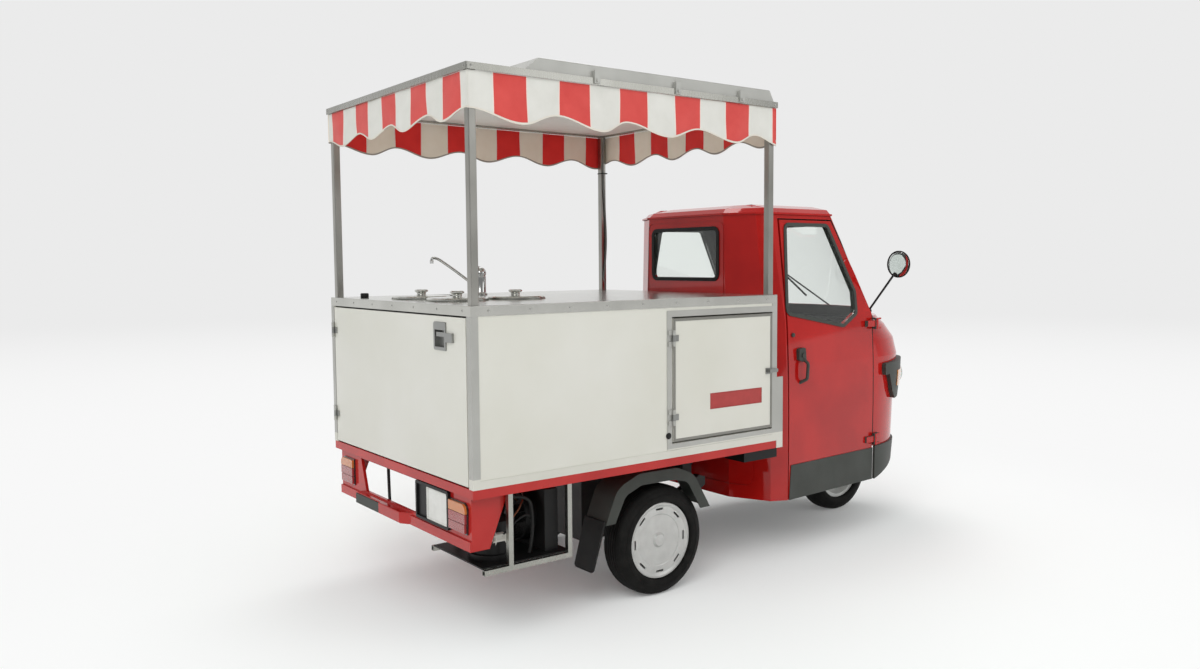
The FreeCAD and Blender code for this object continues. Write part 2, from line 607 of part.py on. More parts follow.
right_panel = panel("right_panel", "YZ_Plane", "-SIDE + angle_wall",
                    rectangle(("BOX_FRONT + angle_wall", "BOX_REAR - angle_wall"), ("panel_low", "RIM_LOW")),
                    holes=[rectangle(HATCH_Y, HATCH_Z)])
left_panel = panel("left_panel", "YZ_Plane", "SIDE - angle_wall - panel_wall",
                   rectangle(("BOX_FRONT + angle_wall", "BOX_REAR - angle_wall"), ("panel_low", "RIM_LOW")))
front_panel = panel("front_panel", "XZ_Plane", "-(BOX_FRONT + angle_wall + panel_wall)",
                    rectangle(("-(SIDE - angle_wall - panel_wall)", "SIDE - angle_wall - panel_wall"),
                              ("panel_low", "RIM_LOW")))
node(group("box_panels", [right_panel, left_panel, front_panel]))

frame_parts = []
for count, (x_sign, y_name, y_sign) in enumerate((("-", "BOX_REAR", "-"), ("", "BOX_REAR", "-"),
                                                   ("-", "BOX_FRONT", "+"), ("", "BOX_FRONT", "+"))):
    inward = "+" if x_sign == "-" else "-"
    xs = [f"{x_sign}SIDE", f"{x_sign}SIDE {inward} angle_leg"]
    ys = [y_name, f"{y_name} {y_sign} angle_leg"]
    skin_x = [f"{x_sign}SIDE", f"{x_sign}SIDE {inward} angle_wall"]
    skin_y = [y_name, f"{y_name} {y_sign} angle_wall"]
    if x_sign == "":
        xs.reverse()
        skin_x.reverse()
    if y_sign == "-":
        ys.reverse()
        skin_y.reverse()
    frame_parts.append(slab(f"corner_leg_x{count}", xs, skin_y, ("panel_low", "RIM_LOW")))
    frame_parts.append(slab(f"corner_leg_y{count}", skin_x, ys, ("panel_low", "RIM_LOW")))
for count, sign in enumerate(("-", "")):
    skin_x = [f"{sign}SIDE", f"{sign}SIDE {'+' if sign else '-'} angle_wall"]
    if not sign:
        skin_x.reverse()
    frame_parts.append(slab(f"foot_trim_{count}", skin_x, ("BOX_FRONT", "BOX_REAR"),
                            ("panel_low", "panel_low + angle_leg")))
frame_parts.append(slab("hatch_rim_low", ("-SIDE", "-SIDE + angle_wall"),
                        (HATCH_Y[0] + " - 12", HATCH_Y[1] + " + 12"),
                        (HATCH_Z[0] + " - 24", HATCH_Z[0])))
frame_parts.append(slab("hatch_rim_top", ("-SIDE", "-SIDE + angle_wall"),
                        (HATCH_Y[0] + " - 12", HATCH_Y[1] + " + 24"),
                        (HATCH_Z[1], HATCH_Z[1] + " + 24")))
frame_parts.append(slab("hatch_rim_back", ("-SIDE", "-SIDE + angle_wall"), (HATCH_Y[1], HATCH_Y[1] + " + 24"),
                        (HATCH_Z[0] + " - 24", HATCH_Z[1])))
frame_parts.append(slab("hatch_rim_front", ("-SIDE", "-SIDE + angle_wall"), ("BOX_FRONT", HATCH_Y[0]),
                        ("panel_low", "RIM_LOW")))
frame_parts.append(slab("front_strip", ("-SIDE", "-SIDE + angle_wall"), ("BOX_FRONT - 36", "BOX_FRONT"),
                        ("DECK_LOW", "panel_low + 263")))


def hinge_barrel(name, axis_x, axis_y, low, high, leaf_xs, leaf_ys):
    """A knuckle with its leaf between two heights."""
    barrel = rod(name + "_barrel", "knuckle", (axis_x, axis_y, low), f"({high}) - ({low})")
    leaf = slab(name + "_leaf", leaf_xs, leaf_ys, (low, high))
    return [barrel, leaf]


# Columns: name, pin x, pin y, leaf on the frame (xs, ys), leaf on the door (xs, ys), heights.
HINGES = (
    ("door", "SIDE - angle_leg - door_gap / 2", "BOX_REAR + knuckle + 1",
     (("SIDE - angle_leg - door_gap / 2", "SIDE - 6"), ("BOX_REAR", "BOX_REAR + 4")),
     (("SIDE - angle_leg - 32", "SIDE - angle_leg - door_gap / 2"), ("BOX_REAR", "BOX_REAR + 4")),
     ("panel_low + 90", "RIM_LOW - 130")),
    ("hatch", "-SIDE - knuckle - 1", HATCH_Y[1] + " - door_gap / 2",
     (("-SIDE - 4", "-SIDE"), (HATCH_Y[1] + " - door_gap / 2", HATCH_Y[1] + " + 20")),
     (("-SIDE - 4", "-SIDE"), (HATCH_Y[1] + " - 30", HATCH_Y[1] + " - door_gap / 2")),
     (HATCH_Z[0] + " + 70", HATCH_Z[1] + " - 110")))
door_knuckles = {}
for hinge, x, y, frame_leaf, door_leaf, heights in HINGES:
    door_knuckles[hinge] = []
    for count, low in enumerate(heights):
        name = f"{hinge}_hinge_{count}"
        frame_parts += hinge_barrel(name + "_low", x, y, low, low + " + 18", *frame_leaf)
        frame_parts += hinge_barrel(name + "_top", x, y, low + " + 42", low + " + 60", *frame_leaf)
        frame_parts.append(rod(name + "_pin", "hinge_pin", (x, y, low), "60"))
        turning = hinge_barrel(name + "_door", x, y, low + " + 18 + soft_gap", low + " + 42 - soft_gap",
                               *door_leaf)
        bore = rod(name + "_bore", "hinge_pin + shaft_play", (x, y, low), "60")
        door_knuckles[hinge].append(cut(name + "_knuckle", join(name + "_turning", turning), [bore]))
node(join("box_frame", frame_parts))

# The rear face is a door hung on the left; the side hatch is hung at its rear edge.
DOOR_X = ("(-SIDE + angle_leg + door_gap)", "(SIDE - angle_leg - door_gap)")
DOOR_Z = ("(panel_low + door_gap)", "(RIM_LOW - door_gap)")
rear_leaf = panel("rear_leaf", "XZ_Plane", "-BOX_REAR", rectangle(DOOR_X, DOOR_Z))
latch_blank = slab("latch_blank", ("-422", "-336"), ("BOX_REAR", "BOX_REAR + 4"),
                   ("RIM_LOW - 121", "RIM_LOW - 26"))
latch_plate = rounded("latch_plate", latch_blank, 8, runs_along("Y"))
latch_dish = slab("latch_dish", ("-413", "-345"), ("BOX_REAR - 14", "BOX_REAR + 5"),
                  ("RIM_LOW - 110", "RIM_LOW - 52"))
latch_grip = slab("latch_grip", ("-408", "-350"), ("BOX_REAR - 14", "BOX_REAR + 1"),
                  ("RIM_LOW - 75", "RIM_LOW - 60"))
latch_bolt = slab("latch_bolt", ("-475", "-422"), ("BOX_REAR", "BOX_REAR + 9"),
                  ("RIM_LOW - 91", "RIM_LOW - 60"))
latched_leaf = cut("latched_leaf", join("latch_leaf", [rear_leaf, latch_plate]), [latch_dish])
node(join("rear_door", [latched_leaf, latch_grip, latch_bolt] + door_knuckles["door"]))

hatch_leaf = panel("hatch_leaf", "YZ_Plane", "-SIDE",
                   rectangle((HATCH_Y[0] + " + door_gap", HATCH_Y[1] + " - door_gap"),
                             (HATCH_Z[0] + " + door_gap", HATCH_Z[1] + " - door_gap")))
HATCH_MIDDLE = f"(({HATCH_Z[0]} + {HATCH_Z[1]}) / 2)"
hatch_plate = slab("hatch_plate", ("-SIDE - 3", "-SIDE"), (HATCH_Y[0] + " + 8", HATCH_Y[0] + " + 44"),
                   (HATCH_MIDDLE + " - 12", HATCH_MIDDLE + " + 12"))
hatch_bar = slab("hatch_bar", ("-SIDE - 10", "-SIDE - 3"), (HATCH_Y[0] + " - 20", HATCH_Y[0] + " + 38"),
                 (HATCH_MIDDLE + " - 7", HATCH_MIDDLE + " + 7"))
hatch_knob = rod("hatch_knob", 8, ("-SIDE - 18", HATCH_Y[0] + " + 26", HATCH_MIDDLE), "15", "x")
hatch_latch = join("hatch_latch", [hatch_plate, rounded("hatch_bar_round", hatch_bar, 3, runs_along("X")),
                                   hatch_knob])
node(join("side_hatch", [hatch_leaf, hatch_latch] + door_knuckles["hatch"]))

# Counter: a pressed stainless top with a turned-down rim and round openings.
WELLS = (  # name, x, y from the box's rear face
    ("left", "145", "-194"), ("right", "-145", "-194"), ("front", "-145", "-445"))
BASIN = ("420", "BOX_REAR - 382")
well_holes = [((x, f"BOX_REAR + ({y})"), "well_radius + 4") for name, x, y in WELLS]
counter_plate = pad("counter_plate", "XY_Plane", "counter_height - counter_sheet", "counter_sheet",
                    rectangle(("-SIDE", "SIDE"), ("BOX_FRONT", "BOX_REAR")),
                    circles=well_holes + [(BASIN, "basin_radius + 2")])
counter_skirt = cut("counter_skirt",
                    slab("skirt_blank", ("-SIDE", "SIDE"), ("BOX_FRONT", "BOX_REAR"),
                         ("RIM_LOW", "counter_height - counter_sheet")),
                    [slab("skirt_hollow", ("-SIDE + counter_sheet", "SIDE - counter_sheet"),
                          ("BOX_FRONT + counter_sheet", "BOX_REAR - counter_sheet"),
                          ("RIM_LOW - 1", "counter_height"))])
pressed_top = rounded("pressed_top", join("counter_whole", [counter_plate, counter_skirt]), 2.5,
                      lambda edge: edge.BoundBox.ZMin > S.counter_height - 0.01
                      and max(edge.BoundBox.XLength, edge.BoundBox.YLength) > S.box_width - 1)
node(pressed_top, "counter_top")


def dropped(name, outline, x, y):
    """A turned body standing in the counter, its heights measured from the counter's top."""
    body = turned(name, outline)
    body.Placement = Placement(Vector(), UPRIGHT)
    place(body, x, y, "counter_height")
    return body


# Outlines by height and radius: the well with its flange, its lid with a flared knob, the basin.
WELL = (("-well_depth", "0"), ("-well_depth", "well_radius + 4"), ("0", "well_radius + 4"),
        ("0", "lid_radius + 2"), ("well_flange", "lid_radius + 2"), ("well_flange", "well_radius"),
        ("4 - well_depth", "well_radius"), ("4 - well_depth", "0"))
LID = (("-14", "0"), ("-14", "well_radius - 3"), ("well_flange + soft_gap", "well_radius - 3"),
       ("well_flange + soft_gap", "lid_radius"), ("well_flange + 4", "lid_radius"),
       ("well_flange + 8", "lid_radius - 5"), ("well_flange + 11", "24"), ("well_flange + 13", "17.5"),
       ("well_flange + 19", "17.5"), ("well_flange + 25", "26.5"), ("well_flange + 29", "26.5"),
       ("well_flange + 32", "23"), ("well_flange + 32", "0"))
BOWL = (("-basin_depth", "0"), ("-basin_depth", "basin_radius - 30"),
        ("30 - basin_depth", "basin_radius + 2"),
        ("0", "basin_radius + 2"), ("0", "basin_radius + 12"), ("2", "basin_radius + 12"),
        ("2", "basin_radius"),
        ("32 - basin_depth", "basin_radius"), ("2 - basin_depth", "basin_radius - 31"),
        ("2 - basin_depth", "0"))
wells = [dropped(f"well_{name}", WELL, x, f"BOX_REAR + ({y})") for name, x, y in WELLS]
node(group("wells", wells))
for name, x, y in WELLS:
    node(dropped(f"well_lid_{name}", LID, x, f"BOX_REAR + ({y})"))
node(dropped("basin", BOWL, *BASIN))


def bent_rod(points, radius, bend):
    """A round rod along straight runs joined by arcs of one bend radius."""
    edges, start = [], points[0]
    for before, corner, after in zip(points, points[1:], points[2:]):
        inward, outward = (corner - before).normalize(), (after - corner).normalize()
        half = inward.getAngle(outward) / 2
        first, last = corner - inward * bend * math.tan(half), corner + outward * bend * math.tan(half)
        middle = corner + (outward - inward).normalize() * bend * (1 / math.cos(half) - 1)
        edges += [Part.makeLine(start, first), Part.Arc(first, middle, last).toShape()]
        start = last
    edges.append(Part.makeLine(start, points[-1]))
    profile = Part.Wire(Part.makeCircle(radius, points[0], points[1] - points[0]))
    return Part.Wire(edges).makePipeShell([profile], True, False)


# The tap: a turned body, a lever, and a spout that rises over the basin and turns down.
TAP = Vector(350, value_of("BOX_REAR - 577"), S.counter_height)
TAP_BODY = (("0", "0"), ("0", "31"), ("7", "31"), ("10", "25"), ("88", "25", 40), ("112", "14"), ("112", "0"))
tap_body = dropped("tap_body", TAP_BODY, "350", "BOX_REAR - 577")
basin_spot = Vector(value_of(BASIN[0]) - 20, value_of(BASIN[1]) + 8, S.counter_height)
towards = Vector(basin_spot.x - TAP.x, basin_spot.y - TAP.y, 0).normalize()
spout_top = basin_spot + Vector(0, 0, 168)
spout = bent_rod([TAP + Vector(0, 0, 34), TAP + towards * 52 + Vector(0, 0, 44),
                  TAP + towards * 105 + Vector(0, 0, 166),
                  spout_top, basin_spot + Vector(0, 0, 122)], 9, 22)
aerator = Part.makeCylinder(13, 30, basin_spot + Vector(0, 0, 104))
lever = Part.makeBox(16, 92, 7, TAP + Vector(-8, -88, 104))
tap_metal = solid("tap_metal", spout.fuse([aerator, lever]))
node(join("tap", [tap_body, tap_metal]))

# ---------------------------------------------------------------- canopy

post_parts = []
for count, (x_sign, y_name) in enumerate((("-", "BOX_REAR"), ("", "BOX_REAR"), ("-", "BOX_FRONT"),
                                          ("", "BOX_FRONT"))):
    low_x = "-SIDE + post_inset" if x_sign else "SIDE - post_inset - post_side"
    low_y = "BOX_REAR - post_inset - post_side" if y_name == "BOX_REAR" else "BOX_FRONT + post_inset"
    post_parts.append(slab(f"post_blank_{count}", (low_x, low_x + " + post_side"),
                           (low_y, low_y + " + post_side"),
                           ("counter_height", "ROOF_LOW")))
posts = [rounded(f"post_{i}", part, 3, runs_along("Z")) for i, part in enumerate(post_parts)]
node(group("canopy_posts", posts))

rim_blank = slab("rim_blank", ("-SIDE", "SIDE"), ("BOX_FRONT", "BOX_REAR"), ("ROOF_LOW", "roof_height"))
rim_hollow = slab("rim_hollow", ("-SIDE + 34", "SIDE - 34"), ("BOX_FRONT + 34", "BOX_REAR - 34"),
                  ("ROOF_LOW - 1", "roof_height + 1"))
rim_round = rounded("rim_round", rim_blank, 4, runs_along("Z"))
rim_rails = [slab(f"rim_rail_{i}", (x, x + " + 26"), ("BOX_FRONT + 20", "BOX_REAR - 20"),
                  ("ROOF_LOW", "ROOF_LOW + 3")) for i, x in enumerate(("-SIDE + 12", "SIDE - 38"))]
node(join("canopy_frame", [cut("canopy_rim", rim_round, [rim_hollow])] + rim_rails))
node(slab("ceiling", ("-SIDE + 34", "SIDE - 34"), ("BOX_FRONT + 34", "BOX_REAR - 34"),
          ("roof_height - 16", "roof_height - 4")))

# The roof lid: a shallow pan whose ends slope up from the rim.
LID_ENDS = ("BOX_FRONT + 18", "BOX_FRONT + 44", "BOX_REAR - 280", "BOX_REAR - 222")


def lid_prism(name, half_width, low, high, inset):
    """A prism of the lid's side profile, its ends moved in by the inset."""
    ends = [f"({end}) {sign} {inset}" for end, sign in zip(LID_ENDS, "++--")]
    return pad(name, "YZ_Plane", f"-({half_width})", f"2 * ({half_width})",
               ((ends[0], low), (ends[3], low), (ends[2], high), (ends[1], high)))


lid_blank = lid_prism("lid_blank", "SIDE - lid_inset", "roof_height", "roof_height + lid_height", 0)
lid_round = rounded("lid_round", lid_blank, 5, lambda edge: edge.BoundBox.ZMin > S.roof_height + 1)
lid_hollow = lid_prism("lid_hollow", "SIDE - lid_inset - 3", "roof_height - 1",
                       "roof_height + lid_height - 3", 3.5)
roof_parts = [cut("roof_lid_pan", lid_round, [lid_hollow])]
for count, y in enumerate(("-513", "-885", "-1215")):
    clip_y = (f"BOX_REAR + ({y}) - 12", f"BOX_REAR + ({y}) + 12")
    tab = slab(f"clip_tab_{count}", ("-SIDE - 6", "-SIDE"), clip_y, ("roof_height - 19", "roof_height"))
    catch = slab(f"clip_catch_{count}", ("-SIDE - 6", "-SIDE + lid_inset"), clip_y,
                 ("roof_height", "roof_height + 25"))
    bolt = rod(f"clip_bolt_{count}", 6, ("-SIDE - 11", f"BOX_REAR + ({y})", "roof_height - 9"), "5", "x")
    clip = [tab, catch, bolt]
    roof_parts += clip + [mirror(part.Name + "_other", part) for part in clip]
node(join("roof_lid", roof_parts))

# The valance hangs from the rim on all four sides, with a waved hem.
# Columns: side, length, waves along it.
VALANCE_OUT = S.box_width / 2 - 3
VALANCE_REAR = value_of("BOX_REAR") - 3
VALANCE_FRONT = value_of("BOX_FRONT") + 3
VALANCE_TOP = value_of("ROOF_LOW") - S.soft_gap


def waved_strip(start, end, waves):
    """A hanging strip between two places, its hem a row of tangent-like arcs."""
    along = (end - start).normalize()
    length = start.distanceToPoint(end)
    inward = Vector(0, 0, 1).cross(along)
    half = length / (2 * waves)

    def at(distance, drop):
        return start + along * distance - Vector(0, 0, drop)

    edges = [Part.makeLine(at(length, 0), at(0, 0))]
    edges.append(Part.makeLine(at(0, 0), at(0, S.valance_drop)))
    for count in range(int(2 * waves)):
        bulge = S.valance_wave if count % 2 else -S.valance_wave
        low = at(count * half, S.valance_drop)
        middle = at((count + 0.5) * half, S.valance_drop + bulge)
        edges.append(Part.Arc(low, middle, at((count + 1) * half, S.valance_drop)).toShape())
    edges.append(Part.makeLine(at(length, S.valance_drop), at(length, 0)))
    face = Part.Face(Part.Wire(Part.__sortEdges__(edges)))
    return face.extrude(inward * S.cloth_thickness)


corners = [Vector(-VALANCE_OUT, VALANCE_REAR, VALANCE_TOP), Vector(-VALANCE_OUT, VALANCE_FRONT, VALANCE_TOP),
           Vector(VALANCE_OUT, VALANCE_FRONT, VALANCE_TOP), Vector(VALANCE_OUT, VALANCE_REAR, VALANCE_TOP)]
SIDE_WAVES = (4, 3.5, 4, 3.5)
strips = [waved_strip(corners[i], corners[(i + 1) % 4], waves) for i, waves in enumerate(SIDE_WAVES)]
node(solid("valance", strips[0].multiFuse(strips[1:]).removeSplitter()))

# The cable hangs down the left front post through a tie, bows out and enters the counter.
# Columns: inward from the post's inner face, and how far up from the bow to the canopy, as a share.
CABLE_UPPER = ((14, 1), (7, 0.922), (6, 0.757), (7, 0.56), (5, 0.362), (7, 0.165), (5, 0))
# Columns: inward from the post's inner face, height above the counter.
CABLE_LOWER = ((5, 100), (5, 62), (13, 44), (20, 30), (17, 14), (15, 1.5))
BOW_TOP = 140
TIE_DROP = 178
POST_FACE = value_of("SIDE - post_inset - post_side")
POST_MIDDLE = value_of("BOX_FRONT + post_inset + post_side / 2")
upper_run = value_of("ROOF_LOW") - 1.5 - S.counter_height - BOW_TOP
heights = [(x, BOW_TOP + share * upper_run) for x, share in CABLE_UPPER] + list(CABLE_LOWER)
route = [Vector(POST_FACE - x, POST_MIDDLE, S.counter_height + z) for x, z in heights]
cable_line = Part.BSplineCurve()
cable_line.buildFromPoles(route, False, 3)
cable_start = Part.Wire(Part.makeCircle(4, route[0], route[1] - route[0]))
node(solid("post_cable", Part.Wire(cable_line.toShape()).makePipeShell([cable_start], True, False)))

tie_out = (POST_FACE - 12, POST_FACE + S.post_side + 1)
tie_side = (POST_MIDDLE - S.post_side / 2 - 1, POST_MIDDLE + S.post_side / 2 + 1)
tie_low = value_of("ROOF_LOW") - TIE_DROP
tie = Part.makeBox(tie_out[1] - tie_out[0], tie_side[1] - tie_side[0], 5,
                   Vector(tie_out[0], tie_side[0], tie_low))
tie_hole = Part.makeBox(tie_out[1] - tie_out[0] - 2, tie_side[1] - tie_side[0] - 2, 9,
                        Vector(tie_out[0] + 1, tie_side[0] + 1, tie_low - 2))
node(solid("cable_tie", tie.cut(tie_hole)))

# ---------------------------------------------------------------- cab

# Plan of the cab at each height. Columns: height, half of the flat back, corner out,
# corner ahead of the back, side out, side ahead of the back, hinge out, nose ahead of the hinge.
LOWER_LEVELS = (
    (S.sill_height, 290, 462, 80, 495, 150, 455, 420),
    (430, 288, 460, 81, 494, 150, 456, 440),
    (S.belt_height - 405, 285, 455, 82, 492, 150, 458, 452),
    (S.belt_height - 285, 281, 448, 84, 489, 150, 457, 474),
    (S.belt_height - 195, 278, 440, 86, 486, 150, 455, S.nose_depth),
    (S.belt_height - 115, 276, 432, 88, 482, 150, 451, 452),
    (S.belt_height - 45, 272, 422, 90, 478, 150, 448, 375),
    (S.belt_height, 270, 415, 92, 475, 150, 446, 290))
# Columns: height, half of the flat back, corner out, ahead, side out, ahead,
# pillar out, pillar behind the hinge, windscreen's bulge ahead of the pillars.
UPPER_LEVELS = (
    (S.belt_height, 270, 415, 92, 475, 150, 446, 0, 165),
    (S.roof_line, 250, 372, 70, 415, 118, 408, 262, 120))
BACK_Y = value_of("CAB_BACK")
HINGE_Y = value_of("HINGE")


def cab_wire(z, flat, corner, corner_on, side, side_on, front_x, front_y, tip_y, inset, drop=0):
    """A closed plan of the cab: three straight runs each side and one arc across the front."""
    points = ((flat - 0.4 * inset, BACK_Y - inset), (corner - inset, BACK_Y - corner_on - 0.5 * inset),
              (side - inset, BACK_Y - side_on), (front_x - inset, front_y))
    right = [Vector(-x, y, z + drop) for x, y in points]
    left = [Vector(x, y, z + drop) for x, y in reversed(points)]
    edges = [Part.makeLine(right[i], right[i + 1]) for i in range(3)]
    edges.append(Part.Arc(right[3], Vector(0, tip_y + inset, z + drop), left[0]).toShape())
    edges += [Part.makeLine(left[i], left[i + 1]) for i in range(3)]
    edges.append(Part.makeLine(left[3], right[0]))
    return Part.Wire(edges)


def lower_body(inset, levels=LOWER_LEVELS, stretch=0):
    wires = []
    for z, flat, corner, corner_on, side, side_on, hinge, nose in levels:
        lift = -stretch if z == levels[0][0] else 0
        wires.append(cab_wire(z + lift, flat, corner, corner_on, side, side_on, hinge, HINGE_Y,
                              HINGE_Y - nose, inset))
    return Part.makeLoft(wires, True, True)


def upper_body(inset, reach=0):
    """The glasshouse; reach runs it on past both ends along its own slopes."""
    low, high = UPPER_LEVELS
    wires = []
    for level, other, way in ((low, high, -1), (high, low, 1)):
        share = way * reach / (high[0] - low[0])
        row = [a + share * (b - c) for a, b, c in zip(level, high, low)]
        z, flat, corner, corner_on, side, side_on, pillar, back, bulge = row
        wires.append(cab_wire(z, flat, corner, corner_on, side, side_on, pillar, HINGE_Y + back,
                              HINGE_Y + back - bulge, inset))
    return Part.makeLoft(wires, True, True)


def prism(points, axis, low, high, corner=0, grow=0):
    """A prism of (u, v) points along x (u = y, v = z), y (u = x, v = z) or z (u = x, v = y).

    Its corners are rounded to a radius, and its outline then grows by a margin.
    """
    place_point = {"x": lambda u, v: Vector(low, u, v), "y": lambda u, v: Vector(u, low, v),
                   "z": lambda u, v: Vector(u, v, low)}[axis]
    wire = Part.makePolygon([place_point(u, v) for u, v in points] + [place_point(*points[0])])
    if corner:
        wire = wire.makeOffset2D(-corner).makeOffset2D(corner + grow)
    way = {"x": Vector(1, 0, 0), "y": Vector(0, 1, 0), "z": Vector(0, 0, 1)}[axis]
    return Part.Face(wire).extrude(way * (high - low))


def box_between(xs, ys, zs):
    return Part.makeBox(xs[1] - xs[0], ys[1] - ys[0], zs[1] - zs[0], Vector(xs[0], ys[0], zs[0]))


WIDE = S.box_width
BUMPER_TOP = 430
outer_cab = lower_body(0).fuse(upper_body(0))
cabin_low = lower_body(S.cab_wall, stretch=5)
cabin_low = cabin_low.common(box_between((-WIDE, WIDE), (-WIDE * 2, WIDE), (0, S.belt_height - S.cab_wall)))
cabin = cabin_low.fuse(upper_body(S.cab_wall, reach=S.cab_wall * 2))
door_space = [lower_body(S.door_wall, stretch=5), upper_body(S.door_wall, reach=S.cab_wall * 2)]

DOOR_BACK = BACK_Y - 152
DOOR_KINK = S.belt_height + 33  # where the windscreen pillar starts to lean back
DOOR_TOP = S.roof_line - 17
DOOR_LEAN = 258  # how far the pillar leans back up to the door's top
DOOR_OUTLINE = (  # y, z round a door's opening, from the foot of the hinge line
    (HINGE_Y, S.sill_height - 20), (HINGE_Y, DOOR_KINK), (HINGE_Y + DOOR_LEAN, DOOR_TOP),
    (DOOR_BACK - 8, DOOR_TOP), (DOOR_BACK, S.sill_height - 20))
DOOR_LEAF = (
    (HINGE_Y + S.door_gap, S.sill_height - 20), (HINGE_Y + S.door_gap, DOOR_KINK - 4),
    (HINGE_Y + DOOR_LEAN + S.door_gap, DOOR_TOP - S.door_gap),
    (DOOR_BACK - 14 - S.door_gap, DOOR_TOP - S.door_gap),
    (DOOR_BACK - S.door_gap, S.sill_height - 20))
DOOR_WINDOW = (  # y, z round the door's window, from its rear lower corner
    (DOOR_BACK - 19, S.belt_height + 38), (HINGE_Y + 227, S.belt_height - 32),
    (HINGE_Y + 130, S.belt_height + 20),
    (HINGE_Y + 131, S.belt_height + 115), (HINGE_Y + 297, S.roof_line - 47),
    (DOOR_BACK - 56, S.roof_line - 47))
WINDOW_CORNER = 22
SEAL_WIDTH = 12
SEAL_DEPTH = 5


def cab_slice(outer_inset, inner_inset):
    """The cab's skin between two depths below its outside."""
    outer = lower_body(outer_inset, stretch=1).fuse(upper_body(outer_inset))
    inner = lower_body(inner_inset, stretch=5).fuse(upper_body(inner_inset, reach=S.cab_wall * 2))
    return outer.cut(inner)


def skin_seal(points, axis, low, high, inner):
    """A rubber seal on the cab's skin round a window's outline."""
    band = cab_slice(-SEAL_DEPTH, inner)
    band = band.common(prism(points, axis, low, high, WINDOW_CORNER, SEAL_WIDTH))
    return band.cut(prism(points, axis, low, high, WINDOW_CORNER, -SEAL_WIDTH / 3))


shell = outer_cab.cut(cabin)
# Pressed lines on the cab's back. Columns: half width, low, high.
PRESSINGS = ((255, S.belt_height + 85, S.roof_line - 25), (392, S.sill_height + 62, S.belt_height - 60))
for half, low, high in PRESSINGS:
    frame = ((-half, low), (half, low), (half, high), (-half, high))
    line = prism(frame, "y", BACK_Y - 70, BACK_Y + 5, 34,
                 3).cut(prism(frame, "y", BACK_Y - 70, BACK_Y + 5, 34, -3))
    shell = shell.cut(line.cut(lower_body(2.5, stretch=9).fuse(upper_body(2.5, reach=9))))
door_hole = prism(DOOR_OUTLINE, "x", -WIDE, WIDE)
front_of_hinge = box_between((-WIDE, WIDE), (-WIDE * 2, HINGE_Y), (BUMPER_TOP, S.belt_height))
below_bumper = box_between((-WIDE, WIDE), (-WIDE * 2, HINGE_Y), (0, BUMPER_TOP))

HINGE_HEIGHTS = (BUMPER_TOP + 34, S.belt_height - 35)
PIN_X = 470
PIN_RADIUS = 5
KNUCKLE_RADIUS = 9


def on_side(shape, side):
    """The shape itself on the left, its mirror image on the right."""
    return shape if side > 0 else shape.mirror(Vector(), Vector(1, 0, 0))


def hinge_parts(side):
    """Body ears with a pin, and the door's knuckle with its strap, on one side."""
    ears, knuckles = [], []
    for z in HINGE_HEIGHTS:
        ears.append(Part.makeCylinder(PIN_RADIUS, 52, Vector(PIN_X, HINGE_Y, z - 26)))
        for low in (z - 26, z + 18):
            ears.append(Part.makeCylinder(KNUCKLE_RADIUS, 8, Vector(PIN_X, HINGE_Y, low)))
            ears.append(box_between((PIN_X - 30, PIN_X), (HINGE_Y - 34, HINGE_Y - 2), (low, low + 8)))
        barrel = Part.makeCylinder(KNUCKLE_RADIUS, 35.4, Vector(PIN_X, HINGE_Y, z - 17.7))
        strap = box_between((PIN_X - 18, PIN_X), (HINGE_Y + 6, HINGE_Y + 62), (z - 14, z + 14))
        barrel = barrel.fuse(strap.fuse(box_between((PIN_X - 6, PIN_X), (HINGE_Y, HINGE_Y + 8),
                                                    (z - 14, z + 14))))
        bore = Part.makeCylinder(PIN_RADIUS + S.shaft_play, 60, Vector(PIN_X, HINGE_Y, z - 30))
        knuckles.append(on_side(barrel.cut(bore), side))
    return [on_side(ear, side) for ear in ears], knuckles


LAMP_OUT = 262
LAMP_HEIGHT = S.belt_height - 310
LAMP_SEAT = 62


def lamp_seat(side):
    return Part.makeCylinder(LAMP_SEAT, 200, Vector(side * LAMP_OUT, HINGE_Y - 520, LAMP_HEIGHT),
                             Vector(0, 1, 0))


nose = shell.common(front_of_hinge)
pins = []
for side in (-1, 1):
    pins += hinge_parts(side)[0]
nose = nose.fuse(pins)
nose = nose.cut(Part.makeCompound([lamp_seat(side) for side in (-1, 1)]))
node(solid("cab_nose", nose.removeSplitter()))

SCREEN = ((-398, S.belt_height + 33), (398, S.belt_height + 33), (366, S.roof_line - 33),
          (-366, S.roof_line - 33))
SCREEN_RUN = (HINGE_Y - 400, HINGE_Y + 235)
PANE = ((-215, S.roof_line - 275), (215, S.roof_line - 275), (215, S.roof_line - 59),
        (-215, S.roof_line - 59))
PANE_RUN = (BACK_Y - 60, BACK_Y + 60)
screen_hole = prism(SCREEN, "y", *SCREEN_RUN, WINDOW_CORNER)
rear_hole = prism(PANE, "y", *PANE_RUN, WINDOW_CORNER)
cab_frame = shell.cut([front_of_hinge, below_bumper, door_hole, screen_hole, rear_hole])
node(solid("cab_frame", cab_frame.removeSplitter()))

glass_skin = cab_slice(6, 6 + S.glass)
screen = glass_skin.common(screen_hole)
rear_glass = glass_skin.common(rear_hole)
node(solid("cab_glass", Part.makeCompound(screen.Solids + rear_glass.Solids)))
screen_seal = skin_seal(SCREEN, "y", *SCREEN_RUN, 0).cut(prism(DOOR_OUTLINE, "x", -WIDE, WIDE))
rear_seal = skin_seal(PANE, "y", *PANE_RUN, 0)
node(solid("window_seals", Part.makeCompound(screen_seal.Solids + rear_seal.Solids)))

